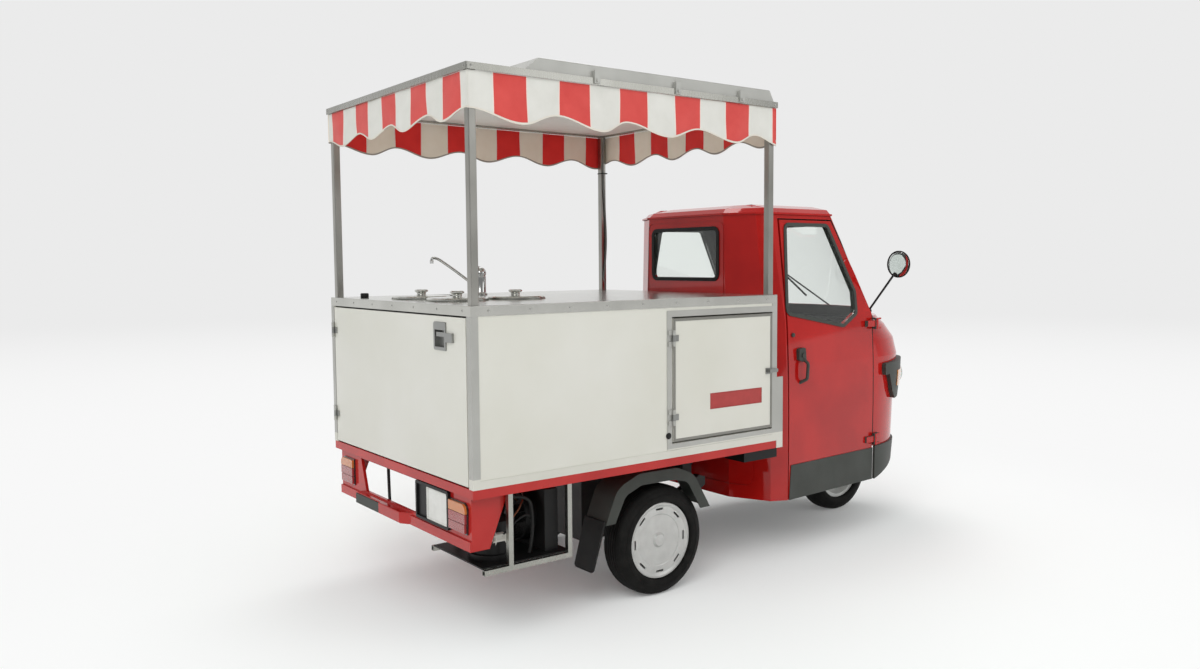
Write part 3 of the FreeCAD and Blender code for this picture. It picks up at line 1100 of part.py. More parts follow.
door_shell = outer_cab.common(prism(DOOR_LEAF, "x", -WIDE, WIDE)).cut(door_space)
window_hole = prism(DOOR_WINDOW, "x", -WIDE, WIDE, WINDOW_CORNER)
door_shell = door_shell.cut(window_hole)
door_glass = glass_skin.common(window_hole)
door_seal = skin_seal(DOOR_WINDOW, "x", -WIDE, WIDE, 0)
TRIM_TOP = BUMPER_TOP - 8
trim_zone = [(y, min(z, TRIM_TOP)) for y, z in DOOR_LEAF[:2] + DOOR_LEAF[3:]]
trim_shell = lower_body(-4).cut(lower_body(-S.soft_gap, stretch=5)).common(prism(trim_zone, "x", -WIDE, WIDE))
HANDLE_Y = DOOR_BACK - 88
HANDLE_TOP = S.belt_height - 120
LOCK = (DOOR_BACK - 44, S.belt_height - 60)


def door_handle():
    """The left door's handle: a boss with a push button, a hooked grip below it, and the lock."""
    boss = prism(((HANDLE_Y - 26, HANDLE_TOP - 62), (HANDLE_Y + 22, HANDLE_TOP - 50),
                  (HANDLE_Y + 22, HANDLE_TOP),
                  (HANDLE_Y - 18, HANDLE_TOP + 4)), "x", 470, 497, 8)
    button = Part.makeCylinder(11, 8, Vector(495, HANDLE_Y - 4, HANDLE_TOP - 30), Vector(1, 0, 0))
    grip = bent_rod([Vector(490, HANDLE_Y - 12, HANDLE_TOP - 46), Vector(512, HANDLE_Y - 18, HANDLE_TOP - 66),
                     Vector(512, HANDLE_Y - 12, HANDLE_TOP - 132),
                     Vector(478, HANDLE_Y + 4, HANDLE_TOP - 152)], 7, 14)
    lock = Part.makeCylinder(9, 30, Vector(454, *LOCK), Vector(1, 0, 0))
    return boss.fuse([button, grip, lock]).cut(outer_cab)


# Each door: its leaf, its glass, and the trim with the sill panel, window seal, handle and lock.
for name, side in (("left", 1), ("right", -1)):
    half = box_between((0, WIDE) if side > 0 else (-WIDE, 0), (-WIDE * 2, WIDE), (0, WIDE * 2))
    leaf = door_shell.common(half).fuse(hinge_parts(side)[1])
    node(solid(f"door_{name}", leaf.removeSplitter()))
    node(solid(f"door_glass_{name}", door_glass.common(half)))
    trim = trim_shell.common(half).Solids + door_seal.common(half).Solids
    trim += on_side(door_handle(), side).Solids
    node(solid(f"door_trim_{name}", Part.makeCompound(trim)))

# Roof: a drip rail round the top of the glasshouse and a low crown.
roof_row = UPPER_LEVELS[1]


def roof_wire(z, inset):
    _, flat, corner, corner_on, side, side_on, pillar, back, bulge = roof_row
    return cab_wire(z, flat, corner, corner_on, side, side_on, pillar, HINGE_Y + back,
                    HINGE_Y + back - bulge, inset)


rail_loft = Part.makeLoft([roof_wire(S.roof_line, -9), roof_wire(S.roof_line + 8, -9)], True, True)
crown = Part.makeLoft([roof_wire(S.roof_line + 8, 2), roof_wire(S.roof_line + 28, 22),
                       roof_wire(S.roof_line + 46, 110)], True, True)
crown_space = Part.makeLoft([roof_wire(S.roof_line - 1, S.cab_wall),
                             roof_wire(S.roof_line + 12, S.cab_wall + 22),
                             roof_wire(S.roof_line + 28, S.cab_wall + 110)], True, True)
node(solid("cab_roof", rail_loft.fuse(crown).cut(crown_space).removeSplitter()))

# Floor, bulkhead, wheel housing top, seat box and the steering head.
floor_inside = lower_body(S.cab_wall + S.soft_gap, stretch=5)
FLOOR_HALF = 424
FLOOR_TOP = S.sill_height + 18
SHELF_LOW = S.tyre_radius * 2 + 92  # clears the fork's crown at full lock
SHELF_TOP = SHELF_LOW + 14
SEAT_LOW = 500
floor_pan = box_between((-FLOOR_HALF, FLOOR_HALF), (HINGE_Y, BACK_Y - S.cab_wall), (S.sill_height, FLOOR_TOP))
back_joint = floor_pan.common(floor_inside)
bulkhead = box_between((-FLOOR_HALF, FLOOR_HALF), (HINGE_Y, HINGE_Y + 14), (S.sill_height, SHELF_TOP))
shelf = box_between((-WIDE, WIDE), (-WIDE * 2, HINGE_Y), (SHELF_LOW, SHELF_TOP)).common(floor_inside)
SEAT_FRONT = BACK_Y - S.cab_wall - 400
seat_box = box_between((-265, 265), (SEAT_FRONT + 5, BACK_Y - S.cab_wall - 2), (FLOOR_TOP, SEAT_LOW))
rake = math.radians(S.steer_rake)
steer_up = Vector(0, math.sin(rake), math.cos(rake))


def steer_point(z):
    """The steering axis at a height."""
    y = value_of("FRONT_AXLE") + S.steer_trail + (z - S.tyre_radius) * math.tan(rake)
    return Vector(0, y, z)


column_bore = Part.makeCylinder(S.column_radius + S.shaft_play, 400, steer_point(SHELF_LOW - 76), steer_up)
head_tube = Part.makeCylinder(28, 150, steer_point(SHELF_LOW + 2), steer_up)
cab_floor = back_joint.fuse([bulkhead, shelf, seat_box, head_tube]).cut(column_bore)
cab_floor = cab_floor.cut(Part.makeCylinder(24, 14, steer_point(SHELF_LOW - 10), steer_up))
node(solid("cab_floor", cab_floor.removeSplitter()))

DASH = (S.belt_height - 120, S.belt_height - 23)
dash = box_between((-WIDE, WIDE), (-WIDE * 2, HINGE_Y - 152),
                   DASH).common(lower_body(S.cab_wall + S.soft_gap))
node(solid("dashboard", dash))

seat_cushion = box_between((-300, 300), (SEAT_FRONT, SEAT_FRONT + 345),
                           (SEAT_LOW + S.soft_gap, SEAT_LOW + 95))
seat_back = box_between((-250, 250), (SEAT_FRONT + 348, SEAT_FRONT + 400 - S.soft_gap),
                        (SEAT_LOW + 20, SEAT_LOW + 430))
node(solid("seat", Part.makeCompound([seat_cushion, seat_back])))

# Bumper: wraps the nose below the hinge line, its lower edge rising to the front.
bumper = lower_body(-10, LOWER_LEVELS[:2]).cut(lower_body(2, LOWER_LEVELS[:2], stretch=1))
bumper = bumper.common(box_between((-WIDE, WIDE), (-WIDE * 2, HINGE_Y - 4), (S.sill_height, BUMPER_TOP)))
bumper = bumper.cut(prism(((HINGE_Y, S.sill_height - 2), (HINGE_Y - 600, S.sill_height - 2),
                           (HINGE_Y - 600, BUMPER_TOP - 58),
                           (HINGE_Y - 300, BUMPER_TOP - 80)), "x", -WIDE, WIDE))
node(solid("front_bumper", bumper))

# Headlamp pods wrap the nose's corners, stepped down ahead of the hinge line.
POD_PROUD = 22
POD_SIDE = (  # y, z of the pod seen from the side
    (HINGE_Y - 65, LAMP_HEIGHT + 82), (HINGE_Y - 600, LAMP_HEIGHT + 100), (HINGE_Y - 600, LAMP_HEIGHT - 115),
    (HINGE_Y - 184, LAMP_HEIGHT - 99), (HINGE_Y - 141, LAMP_HEIGHT - 54), (HINGE_Y - 117, LAMP_HEIGHT),
    (HINGE_Y - 101, LAMP_HEIGHT + 31), (HINGE_Y - 67, LAMP_HEIGHT + 24))
POD_FRONT = ((-500, LAMP_HEIGHT - 99), (LAMP_SEAT + 10 - LAMP_OUT, LAMP_HEIGHT - 84),
             (LAMP_SEAT + 10 - LAMP_OUT, LAMP_HEIGHT + 84), (-500, LAMP_HEIGHT + 99))
pod_skin = lower_body(-POD_PROUD).cut(lower_body(0, stretch=5)).common(prism(POD_SIDE, "x", -WIDE, WIDE, 8))
right_pod = pod_skin.common(prism(POD_FRONT, "y", HINGE_Y - 520, HINGE_Y - 40, 18)).cut(lamp_seat(-1))
indicator_skin = lower_body(-POD_PROUD - 4).cut(lower_body(-POD_PROUD, stretch=5))
indicator = indicator_skin.common(box_between((-500, -340), (HINGE_Y - 400, HINGE_Y - 200),
                                              (LAMP_HEIGHT - 38, LAMP_HEIGHT + 40)))
LENS_RADIUS = 150
lens_face = HINGE_Y - 418
lamp_body = Part.makeCylinder(LAMP_SEAT - S.soft_gap, 97, Vector(-LAMP_OUT, lens_face, LAMP_HEIGHT),
                              Vector(0, 1, 0))
lamp_body = lamp_body.common(Part.makeSphere(LENS_RADIUS,
                                             Vector(-LAMP_OUT, lens_face + LENS_RADIUS, LAMP_HEIGHT)))
pods, lamps = [], []
for side in (-1, 1):
    pods += on_side(right_pod, -side).Solids
    lamps += on_side(lamp_body, -side).Solids + on_side(indicator, -side).Solids
node(solid("headlamp_pods", Part.makeCompound(pods)))
node(solid("headlamps", Part.makeCompound(lamps)))


def rod_between(start, end, radius):
    return Part.makeCylinder(radius, start.distanceToPoint(end), start, end - start)


MIRROR_FOOT = Vector(416, HINGE_Y - 8, S.belt_height + 21)
MIRROR_HEAD = Vector(560, HINGE_Y - 40, S.belt_height + 240)
MIRROR_RADIUS = 62
arm = rod_between(MIRROR_FOOT, MIRROR_HEAD - Vector(20, -8, 46), 5)
foot_boss = Part.makeSphere(15, MIRROR_FOOT)
face = MIRROR_HEAD + Vector(0, 6, 0)
head = Part.makeCylinder(MIRROR_RADIUS, 32, face, Vector(0, -1, 0))
head = head.common(Part.makeSphere(88, face + Vector(0, 58, 0)))
head = head.cut(Part.makeCylinder(MIRROR_RADIUS - 5, 2, face, Vector(0, -1, 0)))
neck = Part.makeSphere(10, MIRROR_HEAD - Vector(20, -2, 46))
mirror_piece = arm.fuse([foot_boss, head, neck]).cut(upper_body(-S.soft_gap, reach=20))
mirror_other = mirror_piece.mirror(Vector(), Vector(1, 0, 0))
node(solid("mirrors", Part.makeCompound(mirror_piece.Solids + mirror_other.Solids)))


def ahead_of_screen(x, z, clear):
    """A point this far ahead of the windscreen's curved face."""
    low, high = UPPER_LEVELS
    share = (z - low[0]) / (high[0] - low[0])
    pillar, back, bulge = (a + share * (b - a) for a, b in zip(low[6:], high[6:]))
    radius = (pillar ** 2 + bulge ** 2) / (2 * bulge)
    return Vector(x, HINGE_Y + back - bulge + radius - math.sqrt(radius ** 2 - x ** 2) - clear, z)


WIPER_FOOT = Vector(-60, HINGE_Y - 200, S.belt_height)
wiper = Part.makeCylinder(12, 16, WIPER_FOOT)
wiper_end = ahead_of_screen(135, S.belt_height + 195, 18)
wiper = wiper.fuse([rod_between(WIPER_FOOT + Vector(0, 0, 10), wiper_end, 4),
                    rod_between(wiper_end, ahead_of_screen(135, S.belt_height + 195, 8), 4),
                    rod_between(ahead_of_screen(60, S.belt_height + 80, 7),
                                ahead_of_screen(210, S.belt_height + 310, 7), 5)])
node(solid("wiper", wiper.removeSplitter()))

# ---------------------------------------------------------------- steering and front wheel

CROWN_LOW = S.tyre_radius + 239
BAR_HEIGHT = 930
FORK_IN = S.tyre_width / 2 + 8
FORK_OUT = FORK_IN + 28
crown_point = steer_point(CROWN_LOW + 14)
column = Part.makeCylinder(S.column_radius, (BAR_HEIGHT - CROWN_LOW - 14) / math.cos(rake), crown_point,
                           steer_up)
bar_middle = steer_point(BAR_HEIGHT)
BAR_RUN = ((-315, 58, 4), (-190, 40, 2), (-90, 0, 0), (90, 0, 0), (190, 40, 2), (315, 58, 4))
handlebar = bent_rod([bar_middle + Vector(*spot) for spot in BAR_RUN], 11, 40)
grips = [rod_between(bar_middle + Vector(way * 200, 41, 2), bar_middle + Vector(way * 318, 58, 4), 17)
         for way in (-1, 1)]
axle_y = value_of("FRONT_AXLE")
crown = box_between((-34, FORK_OUT), (crown_point.y - 38, crown_point.y + 38), (CROWN_LOW, CROWN_LOW + 30))
leg = prism(((crown_point.y - 30, CROWN_LOW + 30), (crown_point.y + 38, CROWN_LOW + 30),
             (axle_y + 60, S.tyre_radius + 113), (axle_y + 30, S.tyre_radius - 26),
             (axle_y - 30, S.tyre_radius - 26), (axle_y - 30, S.tyre_radius + 26)), "x", FORK_IN, FORK_OUT,
             10)
axle = Part.makeCylinder(S.hub_bore - S.shaft_play, FORK_OUT + 34, Vector(-34, axle_y, S.tyre_radius),
                         Vector(1, 0, 0))
GUARD_HALF = S.tyre_width / 2 + 4
GUARD_IN = S.tyre_radius + 15
wheel_point = Vector(-GUARD_HALF, axle_y, S.tyre_radius)
wheel_space = Part.makeCylinder(GUARD_IN, 2 * GUARD_HALF + 4, wheel_point - Vector(2, 0, 0), Vector(1, 0, 0))
guard = Part.makeCylinder(GUARD_IN + 4, 2 * GUARD_HALF, wheel_point, Vector(1, 0, 0)).cut(wheel_space)
guard = guard.common(box_between((-WIDE, WIDE), (-WIDE * 2, WIDE), (S.tyre_radius + 110, CROWN_LOW + 14)))
guard = guard.cut(box_between((-WIDE, WIDE), (-WIDE * 3, axle_y), (S.tyre_radius, S.tyre_radius + 185)))
guard_stay = box_between((-20, 20), (crown_point.y - 20, crown_point.y + 20), (CROWN_LOW - 41, CROWN_LOW + 4))
guard_stay = guard_stay.cut(wheel_space)
fork = column.fuse([handlebar, crown, leg, axle, guard, guard_stay] + grips)
node(solid("steering_fork", fork.removeSplitter()))

# ---------------------------------------------------------------- checks and export

doc.removeObject(holder.Name)
doc.recompute()
for item in doc.Objects:
    if "Invalid" in item.State or "Error" in item.State:
        raise RuntimeError(f"{item.Name} did not build: {item.State}")
for item in nodes:
    if item.Shape.isNull() or not item.Shape.isValid() or not item.Shape.Solids:
        raise RuntimeError(f"{item.Label} is not a valid solid")

os.makedirs("parts", exist_ok=True)
for item in nodes:
    item.Shape.exportStep(os.path.join("parts", item.Label + ".step"))
print(len(nodes), "nodes written")
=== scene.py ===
# %% [markdown]
# # An ice cream truck on three wheels
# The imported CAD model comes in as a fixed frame. Each cell after it adds one finish or one
# piece that the plain solids lack: paint, brushed steel, striped cloth, tyres, cable and seat.

# %% Load the frame
import math

import bpy
import bmesh
from mathutils import Matrix, Vector
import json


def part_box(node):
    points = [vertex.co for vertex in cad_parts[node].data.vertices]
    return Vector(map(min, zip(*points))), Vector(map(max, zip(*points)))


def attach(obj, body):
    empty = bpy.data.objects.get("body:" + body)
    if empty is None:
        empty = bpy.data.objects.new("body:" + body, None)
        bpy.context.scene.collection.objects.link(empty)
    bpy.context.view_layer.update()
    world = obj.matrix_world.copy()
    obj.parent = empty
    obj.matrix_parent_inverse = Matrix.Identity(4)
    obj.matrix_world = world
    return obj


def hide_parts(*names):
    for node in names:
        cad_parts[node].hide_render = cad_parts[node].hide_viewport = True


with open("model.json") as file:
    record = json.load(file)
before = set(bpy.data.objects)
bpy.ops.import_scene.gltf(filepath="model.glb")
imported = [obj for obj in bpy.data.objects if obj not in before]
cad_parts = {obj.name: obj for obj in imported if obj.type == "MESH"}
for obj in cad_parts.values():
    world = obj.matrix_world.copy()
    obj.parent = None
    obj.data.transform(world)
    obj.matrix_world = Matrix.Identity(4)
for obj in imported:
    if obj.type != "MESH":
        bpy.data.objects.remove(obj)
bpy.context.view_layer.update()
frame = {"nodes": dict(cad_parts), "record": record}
NODES = frame["nodes"]
print("frame loaded:", len(NODES), "nodes")

# %% [markdown]
# ## Working by hand, in code
# Operators act on whatever is selected, so each step first clears the selection and then picks
# what it needs. These helpers stand for the mouse.


# %% Helpers for selection and objects
def deselect():
    if bpy.context.mode != "OBJECT":
        bpy.ops.object.mode_set(mode="OBJECT")
    bpy.ops.object.select_all(action="DESELECT")


def only(piece):
    """Make one piece the selected and active one."""
    deselect()
    piece.select_set(True)
    bpy.context.view_layer.objects.active = piece
    return piece


def named(name):
    """Name the piece that an operator has just added."""
    piece = bpy.context.object
    piece.name = name
    piece.data.name = name
    return piece


# %% [markdown]
# ## The camera
# A slightly wide lens at the height of a standing person's chest, behind the truck's right rear
# corner. A Track To constraint could aim it, but three typed turns also keep the small roll of a
# camera held in the hand. The Standard view shows each colour about as it is written.

# %% Camera
LENS_MM = 29.149
CAMERA_PLACE = (-3.3229, 2.8735, 1.3065)
HEADING, PITCH, ROLL = (math.radians(angle) for angle in (-126.842, -4.276, -0.443))
camera_data = bpy.data.cameras.new("camera")
camera_data.lens = LENS_MM
camera = bpy.data.objects.new("camera", camera_data)
bpy.context.scene.collection.objects.link(camera)
turn = (Matrix.Rotation(HEADING, 3, "Z") @ Matrix.Rotation(math.pi / 2 + PITCH, 3, "X")
        @ Matrix.Rotation(ROLL, 3, "Z"))
camera.location = CAMERA_PLACE
camera.rotation_euler = turn.to_euler()
bpy.context.scene.camera = camera
bpy.context.scene.view_settings.view_transform = "Standard"
print("camera at", CAMERA_PLACE)

# %% [markdown]
# ## The cable on the post
# A grey two-core cable feeds the canopy light. It comes out of the canopy frame, runs down the
# left front post through a tie, bows out once and goes into the counter. A NURBS curve with a round
# bevel is the natural way to draw it: few points give one smooth line, and its length can be read.
# The bevel is 1 and each point's radius is the cable's own, so that the curve's box stays tight.

# %% Cable line
CABLE_RADIUS = 0.004
POST_WIDTH = 0.028
counter_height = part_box("counter_top")[1].z
post_low, post_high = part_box("canopy_posts")
post_face, post_middle = post_high.x - POST_WIDTH, post_low.y + POST_WIDTH / 2
CABLE_ROUTE = (  # inward from the post's face, to the rear of its middle, height above the counter
    (0.014, 0.004, 0.7475), (0.007, 0.008, 0.700), (0.006, 0.008, 0.600), (0.007, 0.002, 0.480),
    (0.005, -0.006, 0.360), (0.007, -0.010, 0.240), (0.005, -0.004, 0.140), (0.005, 0.002, 0.100),
    (0.005, 0.007, 0.062), (0.013, 0.009, 0.044), (0.020, 0.008, 0.030), (0.017, 0.006, 0.014),
    (0.015, 0.005, 0.0015))
cable_points = [Vector((post_face - inward, post_middle + back, counter_height + above))
                for inward, back, above in CABLE_ROUTE]
cable_curve = bpy.data.curves.new("post_cable_line", "CURVE")
cable_curve.dimensions = "3D"
cable_curve.resolution_u = 12
cable_curve.bevel_depth = 1.0
cable_curve.bevel_resolution = 4
spline = cable_curve.splines.new("NURBS")
spline.points.add(len(cable_points) - 1)
for point, place in zip(spline.points, cable_points):
    point.co = (*place, 1.0)
    point.radius = CABLE_RADIUS
spline.order_u = 3
spline.use_endpoint_u = True
post_cable = bpy.data.objects.new("post_cable_line", cable_curve)
bpy.context.scene.collection.objects.link(post_cable)
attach(post_cable, "truck")
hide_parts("post_cable")
print("cable: spline of", len(cable_points), "points")

# %% [markdown]
# ## The studio
# A pale floor that fades into an even backdrop, as a paper sweep does, and three soft boxes. Light
# Path tells the rays that see the backdrop from the rays that light the truck, so the pale
# background adds no light to the paint. Mirrored rays meet a wall that is dimmer to one side,
# because steel and enamel look flat in a room that is equally white all round.


# %% Colours and nodes
def linear(hex_colour, alpha=1.0):
    """An sRGB hex colour as the linear numbers that shaders use."""
    parts = [int(hex_colour[i:i + 2], 16) / 255 for i in (1, 3, 5)]
    return tuple(p / 12.92 if p <= 0.04045 else ((p + 0.055) / 1.055) ** 2.4 for p in parts) + (alpha,)


def add_node(tree, kind, settings=None, links=None):
    """Add one shader node. Settings are properties, unlinked inputs by name or number, or the
    stops of a colour ramp. A link is input -> node, for its first output, or (node, output)."""
    item = tree.nodes.new("ShaderNode" + kind)
    for key, value in (settings or {}).items():
        if key == "stops":
            elements = item.color_ramp.elements
            for element, (position, colour) in zip(elements, value):
                element.position, element.color = position, linear(colour)
        elif isinstance(key, int) or key in item.inputs:
            item.inputs[key].default_value = value
        else:
            setattr(item, key, value)
    for key, link in (links or {}).items():
        source, output = link if isinstance(link, tuple) else (link, 0)
        tree.links.new(source.outputs[output], item.inputs[key])
    return item


# %% World
BACKDROP = "#EBEBEB"
SKY_STRENGTH = 0.74
PALE_WAY = (0.79, -0.61, 0.0)  # towards the pale end of the mirrored wall
DIM_WALL = 0.34


def seen_directly(tree):
    """1 for the rays that show the background to the camera or through glass, 0 for its light."""
    path = add_node(tree, "LightPath")
    seen = add_node(tree, "Math", {"operation": "MAXIMUM"},
                    {0: (path, "Is Camera Ray"), 1: (path, "Is Transmission Ray")})
    return seen, path


world = bpy.data.worlds.new("studio")
bpy.context.scene.world = world
world.use_nodes = True
air = world.node_tree
air.nodes.clear()
seen, path = seen_directly(air)
sky = add_node(air, "Background", {"Color": linear("#FFFFFF"), "Strength": SKY_STRENGTH})
way = add_node(air, "NewGeometry")
ahead = add_node(air, "VectorMath", {"operation": "DOT_PRODUCT", 1: PALE_WAY}, {0: (way, "Position")})
strength = add_node(air, "MapRange", {"From Min": -0.1, "From Max": 0.6, "To Min": DIM_WALL},
                    {"Value": (ahead, "Value")})
dim_wall = add_node(air, "Background", {"Color": linear(BACKDROP)}, {"Strength": strength})
wall = add_node(air, "Background", {"Color": linear(BACKDROP), "Strength": 1.0})
mirrored = add_node(air, "MixShader", links={0: (path, "Is Glossy Ray"), 1: sky, 2: dim_wall})
mix = add_node(air, "MixShader", links={0: seen, 1: mirrored, 2: wall})
add_node(air, "OutputWorld", links={"Surface": mix})
print("world: backdrop", BACKDROP, "and sky at", SKY_STRENGTH)

# %% Floor
FLOOR_SIZE = 120
FADE_FROM, FADE_TO, LEAST_GLOW = 0.8, 3.8, 0.06
TINT_FROM, TINT_TO = 3.5, 22.0

deselect()
bpy.ops.mesh.primitive_plane_add(size=FLOOR_SIZE, location=(0, 0, 0))
floor = named("studio_floor")
floor_paint = bpy.data.materials.new("matt_floor_paint")
floor_paint.use_nodes = True
tree = floor_paint.node_tree
tree.nodes.clear()
matt = add_node(tree, "BsdfDiffuse", {"Color": linear("#FAFCFB"), "Roughness": 1.0})
spot = add_node(tree, "TexCoord")
away = add_node(tree, "VectorMath", {"operation": "LENGTH"}, {0: (spot, "Object")})
far = add_node(tree, "MapRange", {"interpolation_type": "SMOOTHSTEP", "From Min": TINT_FROM,
                                  "From Max": TINT_TO}, {"Value": (away, "Value")})
tint = add_node(tree, "ValToRGB", {"stops": ((0.0, "#F8F8F8"), (1.0, BACKDROP))}, {0: far})
glow = add_node(tree, "Emission", {"Strength": 1.0}, {"Color": tint})
fade = add_node(tree, "MapRange", {"interpolation_type": "SMOOTHERSTEP", "From Min": FADE_FROM,
                                   "From Max": FADE_TO, "To Min": LEAST_GLOW}, {"Value": (away, "Value")})
seen, path = seen_directly(tree)
shown = add_node(tree, "Math", {"operation": "MAXIMUM"}, {0: seen, 1: (path, "Is Glossy Ray")})
share = add_node(tree, "Math", {"operation": "MULTIPLY"}, {0: fade, 1: shown})
mix = add_node(tree, "MixShader", links={0: share, 1: matt, 2: glow})
add_node(tree, "OutputMaterial", links={"Surface": mix})
floor.data.materials.append(floor_paint)
print("floor: fades into the backdrop from", FADE_FROM, "to", FADE_TO, "m")

# %% Soft boxes
LIT_POINT = Vector((0, 0, 0.8))
SOFT_BOXES = (  # name, place, size, power in watts
    ("key", (-3.5, 4.5, 4.5), 3.0, 75),
    ("fill", (-5.0, -2.5, 3.5), 3.0, 35),
    ("back", (1.6, -0.8, 5.6), 2.4, 90))
for name, place, size, power in SOFT_BOXES:
    lamp_data = bpy.data.lights.new(name, "AREA")
    lamp_data.size = size
    lamp_data.energy = power
    lamp = bpy.data.objects.new(name, lamp_data)
    bpy.context.scene.collection.objects.link(lamp)
    lamp.location = place
    lamp.rotation_euler = (LIT_POINT - Vector(place)).to_track_quat("-Z", "Y").to_euler()
print("studio:", len(SOFT_BOXES), "soft boxes")

# %% [markdown]
# ## Materials
# Each finish is named for the real material. A picture could be wrapped round each piece, but
# patterns worked out in the shader need no file and stay sharp. Their sizes are real, in
# millimetres, and they read Object coordinates or a piece's own UV map, so they move with it. The
# helpers make what most finishes share: a drifting grain, two close shades, and the last shader.

# %% Shader helpers
CAB_MIDDLE = (0.0, -0.55, 0.85)


def new_material(name):
    """An empty material and its node tree."""
    material = bpy.data.materials.new(name)
    material.use_nodes = True
    material.node_tree.nodes.clear()
    return material, material.node_tree


def grain(tree, size_mm, stretch=(1, 1, 1), detail=3.0):
    """A drifting pattern whose features have a real size, stretched along the object's axes."""
    places = add_node(tree, "TexCoord")
    turn = add_node(tree, "Mapping", {"Scale": stretch}, {"Vector": (places, "Object")})
    return add_node(tree, "TexNoise", {"Scale": 1000.0 / size_mm, "Detail": detail}, {"Vector": turn})


def mottle(tree, size_mm, dark, light, low=0.3, high=0.7, detail=3.0):
    """Two close shades that drift over the surface, and the pattern that they follow."""
    pattern = grain(tree, size_mm, detail=detail)
    return add_node(tree, "ValToRGB", {"stops": ((low, dark), (high, light))}, {0: pattern}), pattern


def close_material(material, colour, settings, rough=None, relief=None, links=None):
    """Close a material with one Principled shader. Roughness may vary, as (low, high, pattern),
    and relief is (pattern, depth in mm)."""
    tree = material.node_tree
    links = dict(links or {})
    if colour is not None:
        links["Base Color"] = colour
    if rough:
        low, high, pattern = rough
        links["Roughness"] = add_node(tree, "MapRange", {"To Min": low, "To Max": high}, {"Value": pattern})
    if relief:
        pattern, depth_mm = relief
        links["Normal"] = add_node(tree, "Bump", {"Strength": 1.0, "Distance": depth_mm / 1000},
                                   {"Height": pattern})
    shader = add_node(tree, "BsdfPrincipled", settings, links)
    add_node(tree, "OutputMaterial", links={"Surface": shader})
    return material


def split_places(tree):
    """The object's own X, Y and Z, in metres."""
    places = add_node(tree, "TexCoord")
    return add_node(tree, "SeparateXYZ", links={0: (places, "Object")})


def facing_out(tree, middle):
    """1 on faces that point away from a middle point, 0 on faces that look towards it."""
    places = add_node(tree, "TexCoord")
    away = add_node(tree, "VectorMath", {"operation": "SUBTRACT", 1: middle}, {0: (places, "Object")})
    way = add_node(tree, "VectorMath", {"operation": "DOT_PRODUCT"}, {0: (places, "Normal"), 1: away})
    return add_node(tree, "Math", {"operation": "GREATER_THAN", 1: 0.0}, {0: (way, "Value")})


def inside_boxes(tree, boxes):
    """1 inside any of the boxes, each ((low x, y, z), (high x, y, z)), and 0 elsewhere."""
    place = split_places(tree)
    found = None
    for low, high in boxes:
        inside = None
        for axis in range(3):
            middle, half = (low[axis] + high[axis]) / 2, (high[axis] - low[axis]) / 2
            off = add_node(tree, "Math", {"operation": "SUBTRACT", 1: middle}, {0: (place, axis)})
            size = add_node(tree, "Math", {"operation": "ABSOLUTE"}, {0: off})
            near = add_node(tree, "Math", {"operation": "LESS_THAN", 1: half}, {0: size})
            inside = near if inside is None else add_node(tree, "Math", {"operation": "MULTIPLY"},
                                                          {0: inside, 1: near})
        found = inside if found is None else add_node(tree, "Math", {"operation": "MAXIMUM"},
                                                      {0: found, 1: inside})
    return found


print("shader helpers ready; the cab's middle is", CAB_MIDDLE)

# %% [markdown]
# ## Paint, laminate and plastic
# The cab is pressed sheet in red two-coat enamel: a deep colour under a clear gloss, with the faint
# waves that painters call orange peel. The shader's coat gives that gloss without a second
# material. The box is glass-fibre laminate, smooth and hardly glossy, and the bumpers are moulded
# plastic with a leather grain. All of them differ only in shades, roughness and depth of grain.


# %% Paint, laminate and plastic
def red_enamel():
    """Glossy red vehicle enamel with faint orange peel; plain dark trim on the cab's inner faces."""
    material, tree = new_material("red_enamel")
    red, _ = mottle(tree, 260, "#A81512", "#B91B17", 0.35, 0.65)
    trim, peel = mottle(tree, 3.0, "#4B4D4A", "#565955", detail=1.0)
    out = facing_out(tree, CAB_MIDDLE)
    colour = add_node(tree, "Mix", {"data_type": "RGBA"}, {0: out, 6: trim, 7: red})
    return close_material(material, (colour, 2), {"Coat Roughness": 0.04, "Specular IOR Level": 0.0},
                          rough=(0.55, 0.16, out), relief=(peel, 0.03), links={"Coat Weight": out})


def deck_enamel():
    """The same red enamel on the deck and apron, a little paler and duller from road film."""
    material, tree = new_material("deck_enamel")
    red, _ = mottle(tree, 200, "#AE1D1A", "#BC2722", 0.35, 0.65)
    return close_material(material, red, {"Coat Weight": 0.9, "Coat Roughness": 0.08, "Roughness": 0.3,
                                          "Specular IOR Level": 0.0},
                          relief=(grain(tree, 3.0, detail=1.0), 0.03))


def cream_laminate(fittings=()):
    """Cream glass-fibre laminate, very finely textured; steel inside the given boxes (latch, hinges)."""
    material, tree = new_material("fitted_laminate" if fittings else "cream_laminate")
    cream, cloud = mottle(tree, 420, "#D6D5CA", "#DDDCD4")
    fibres = grain(tree, 1.2)
    colour, links = cream, {}
    if fittings:
        steel = inside_boxes(tree, fittings)
        plate = add_node(tree, "ValToRGB", {"stops": ((0.3, "#8E8F8C"), (0.7, "#A0A19E"))}, {0: cloud})
        colour = (add_node(tree, "Mix", {"data_type": "RGBA"}, {0: steel, 6: cream, 7: plate}), 2)
        links["Metallic"] = add_node(tree, "MapRange", {"To Min": 0.0, "To Max": 0.9}, {"Value": steel})
    return close_material(material, colour, {"Coat Weight": 0.25, "Coat Roughness": 0.2},
                          rough=(0.28, 0.4, fibres), relief=(fibres, 0.02), links=links)


def grained_plastic(name, dark, light, roughness=0.5):
    """Moulded plastic with a fine leather-like grain."""
    material, tree = new_material(name)
    colour, _ = mottle(tree, 120, dark, light)
    leather = grain(tree, 1.6, detail=2.0)
    return close_material(material, colour, {"Specular IOR Level": 0.3},
                          rough=(roughness - 0.06, roughness + 0.1, leather), relief=(leather, 0.12))


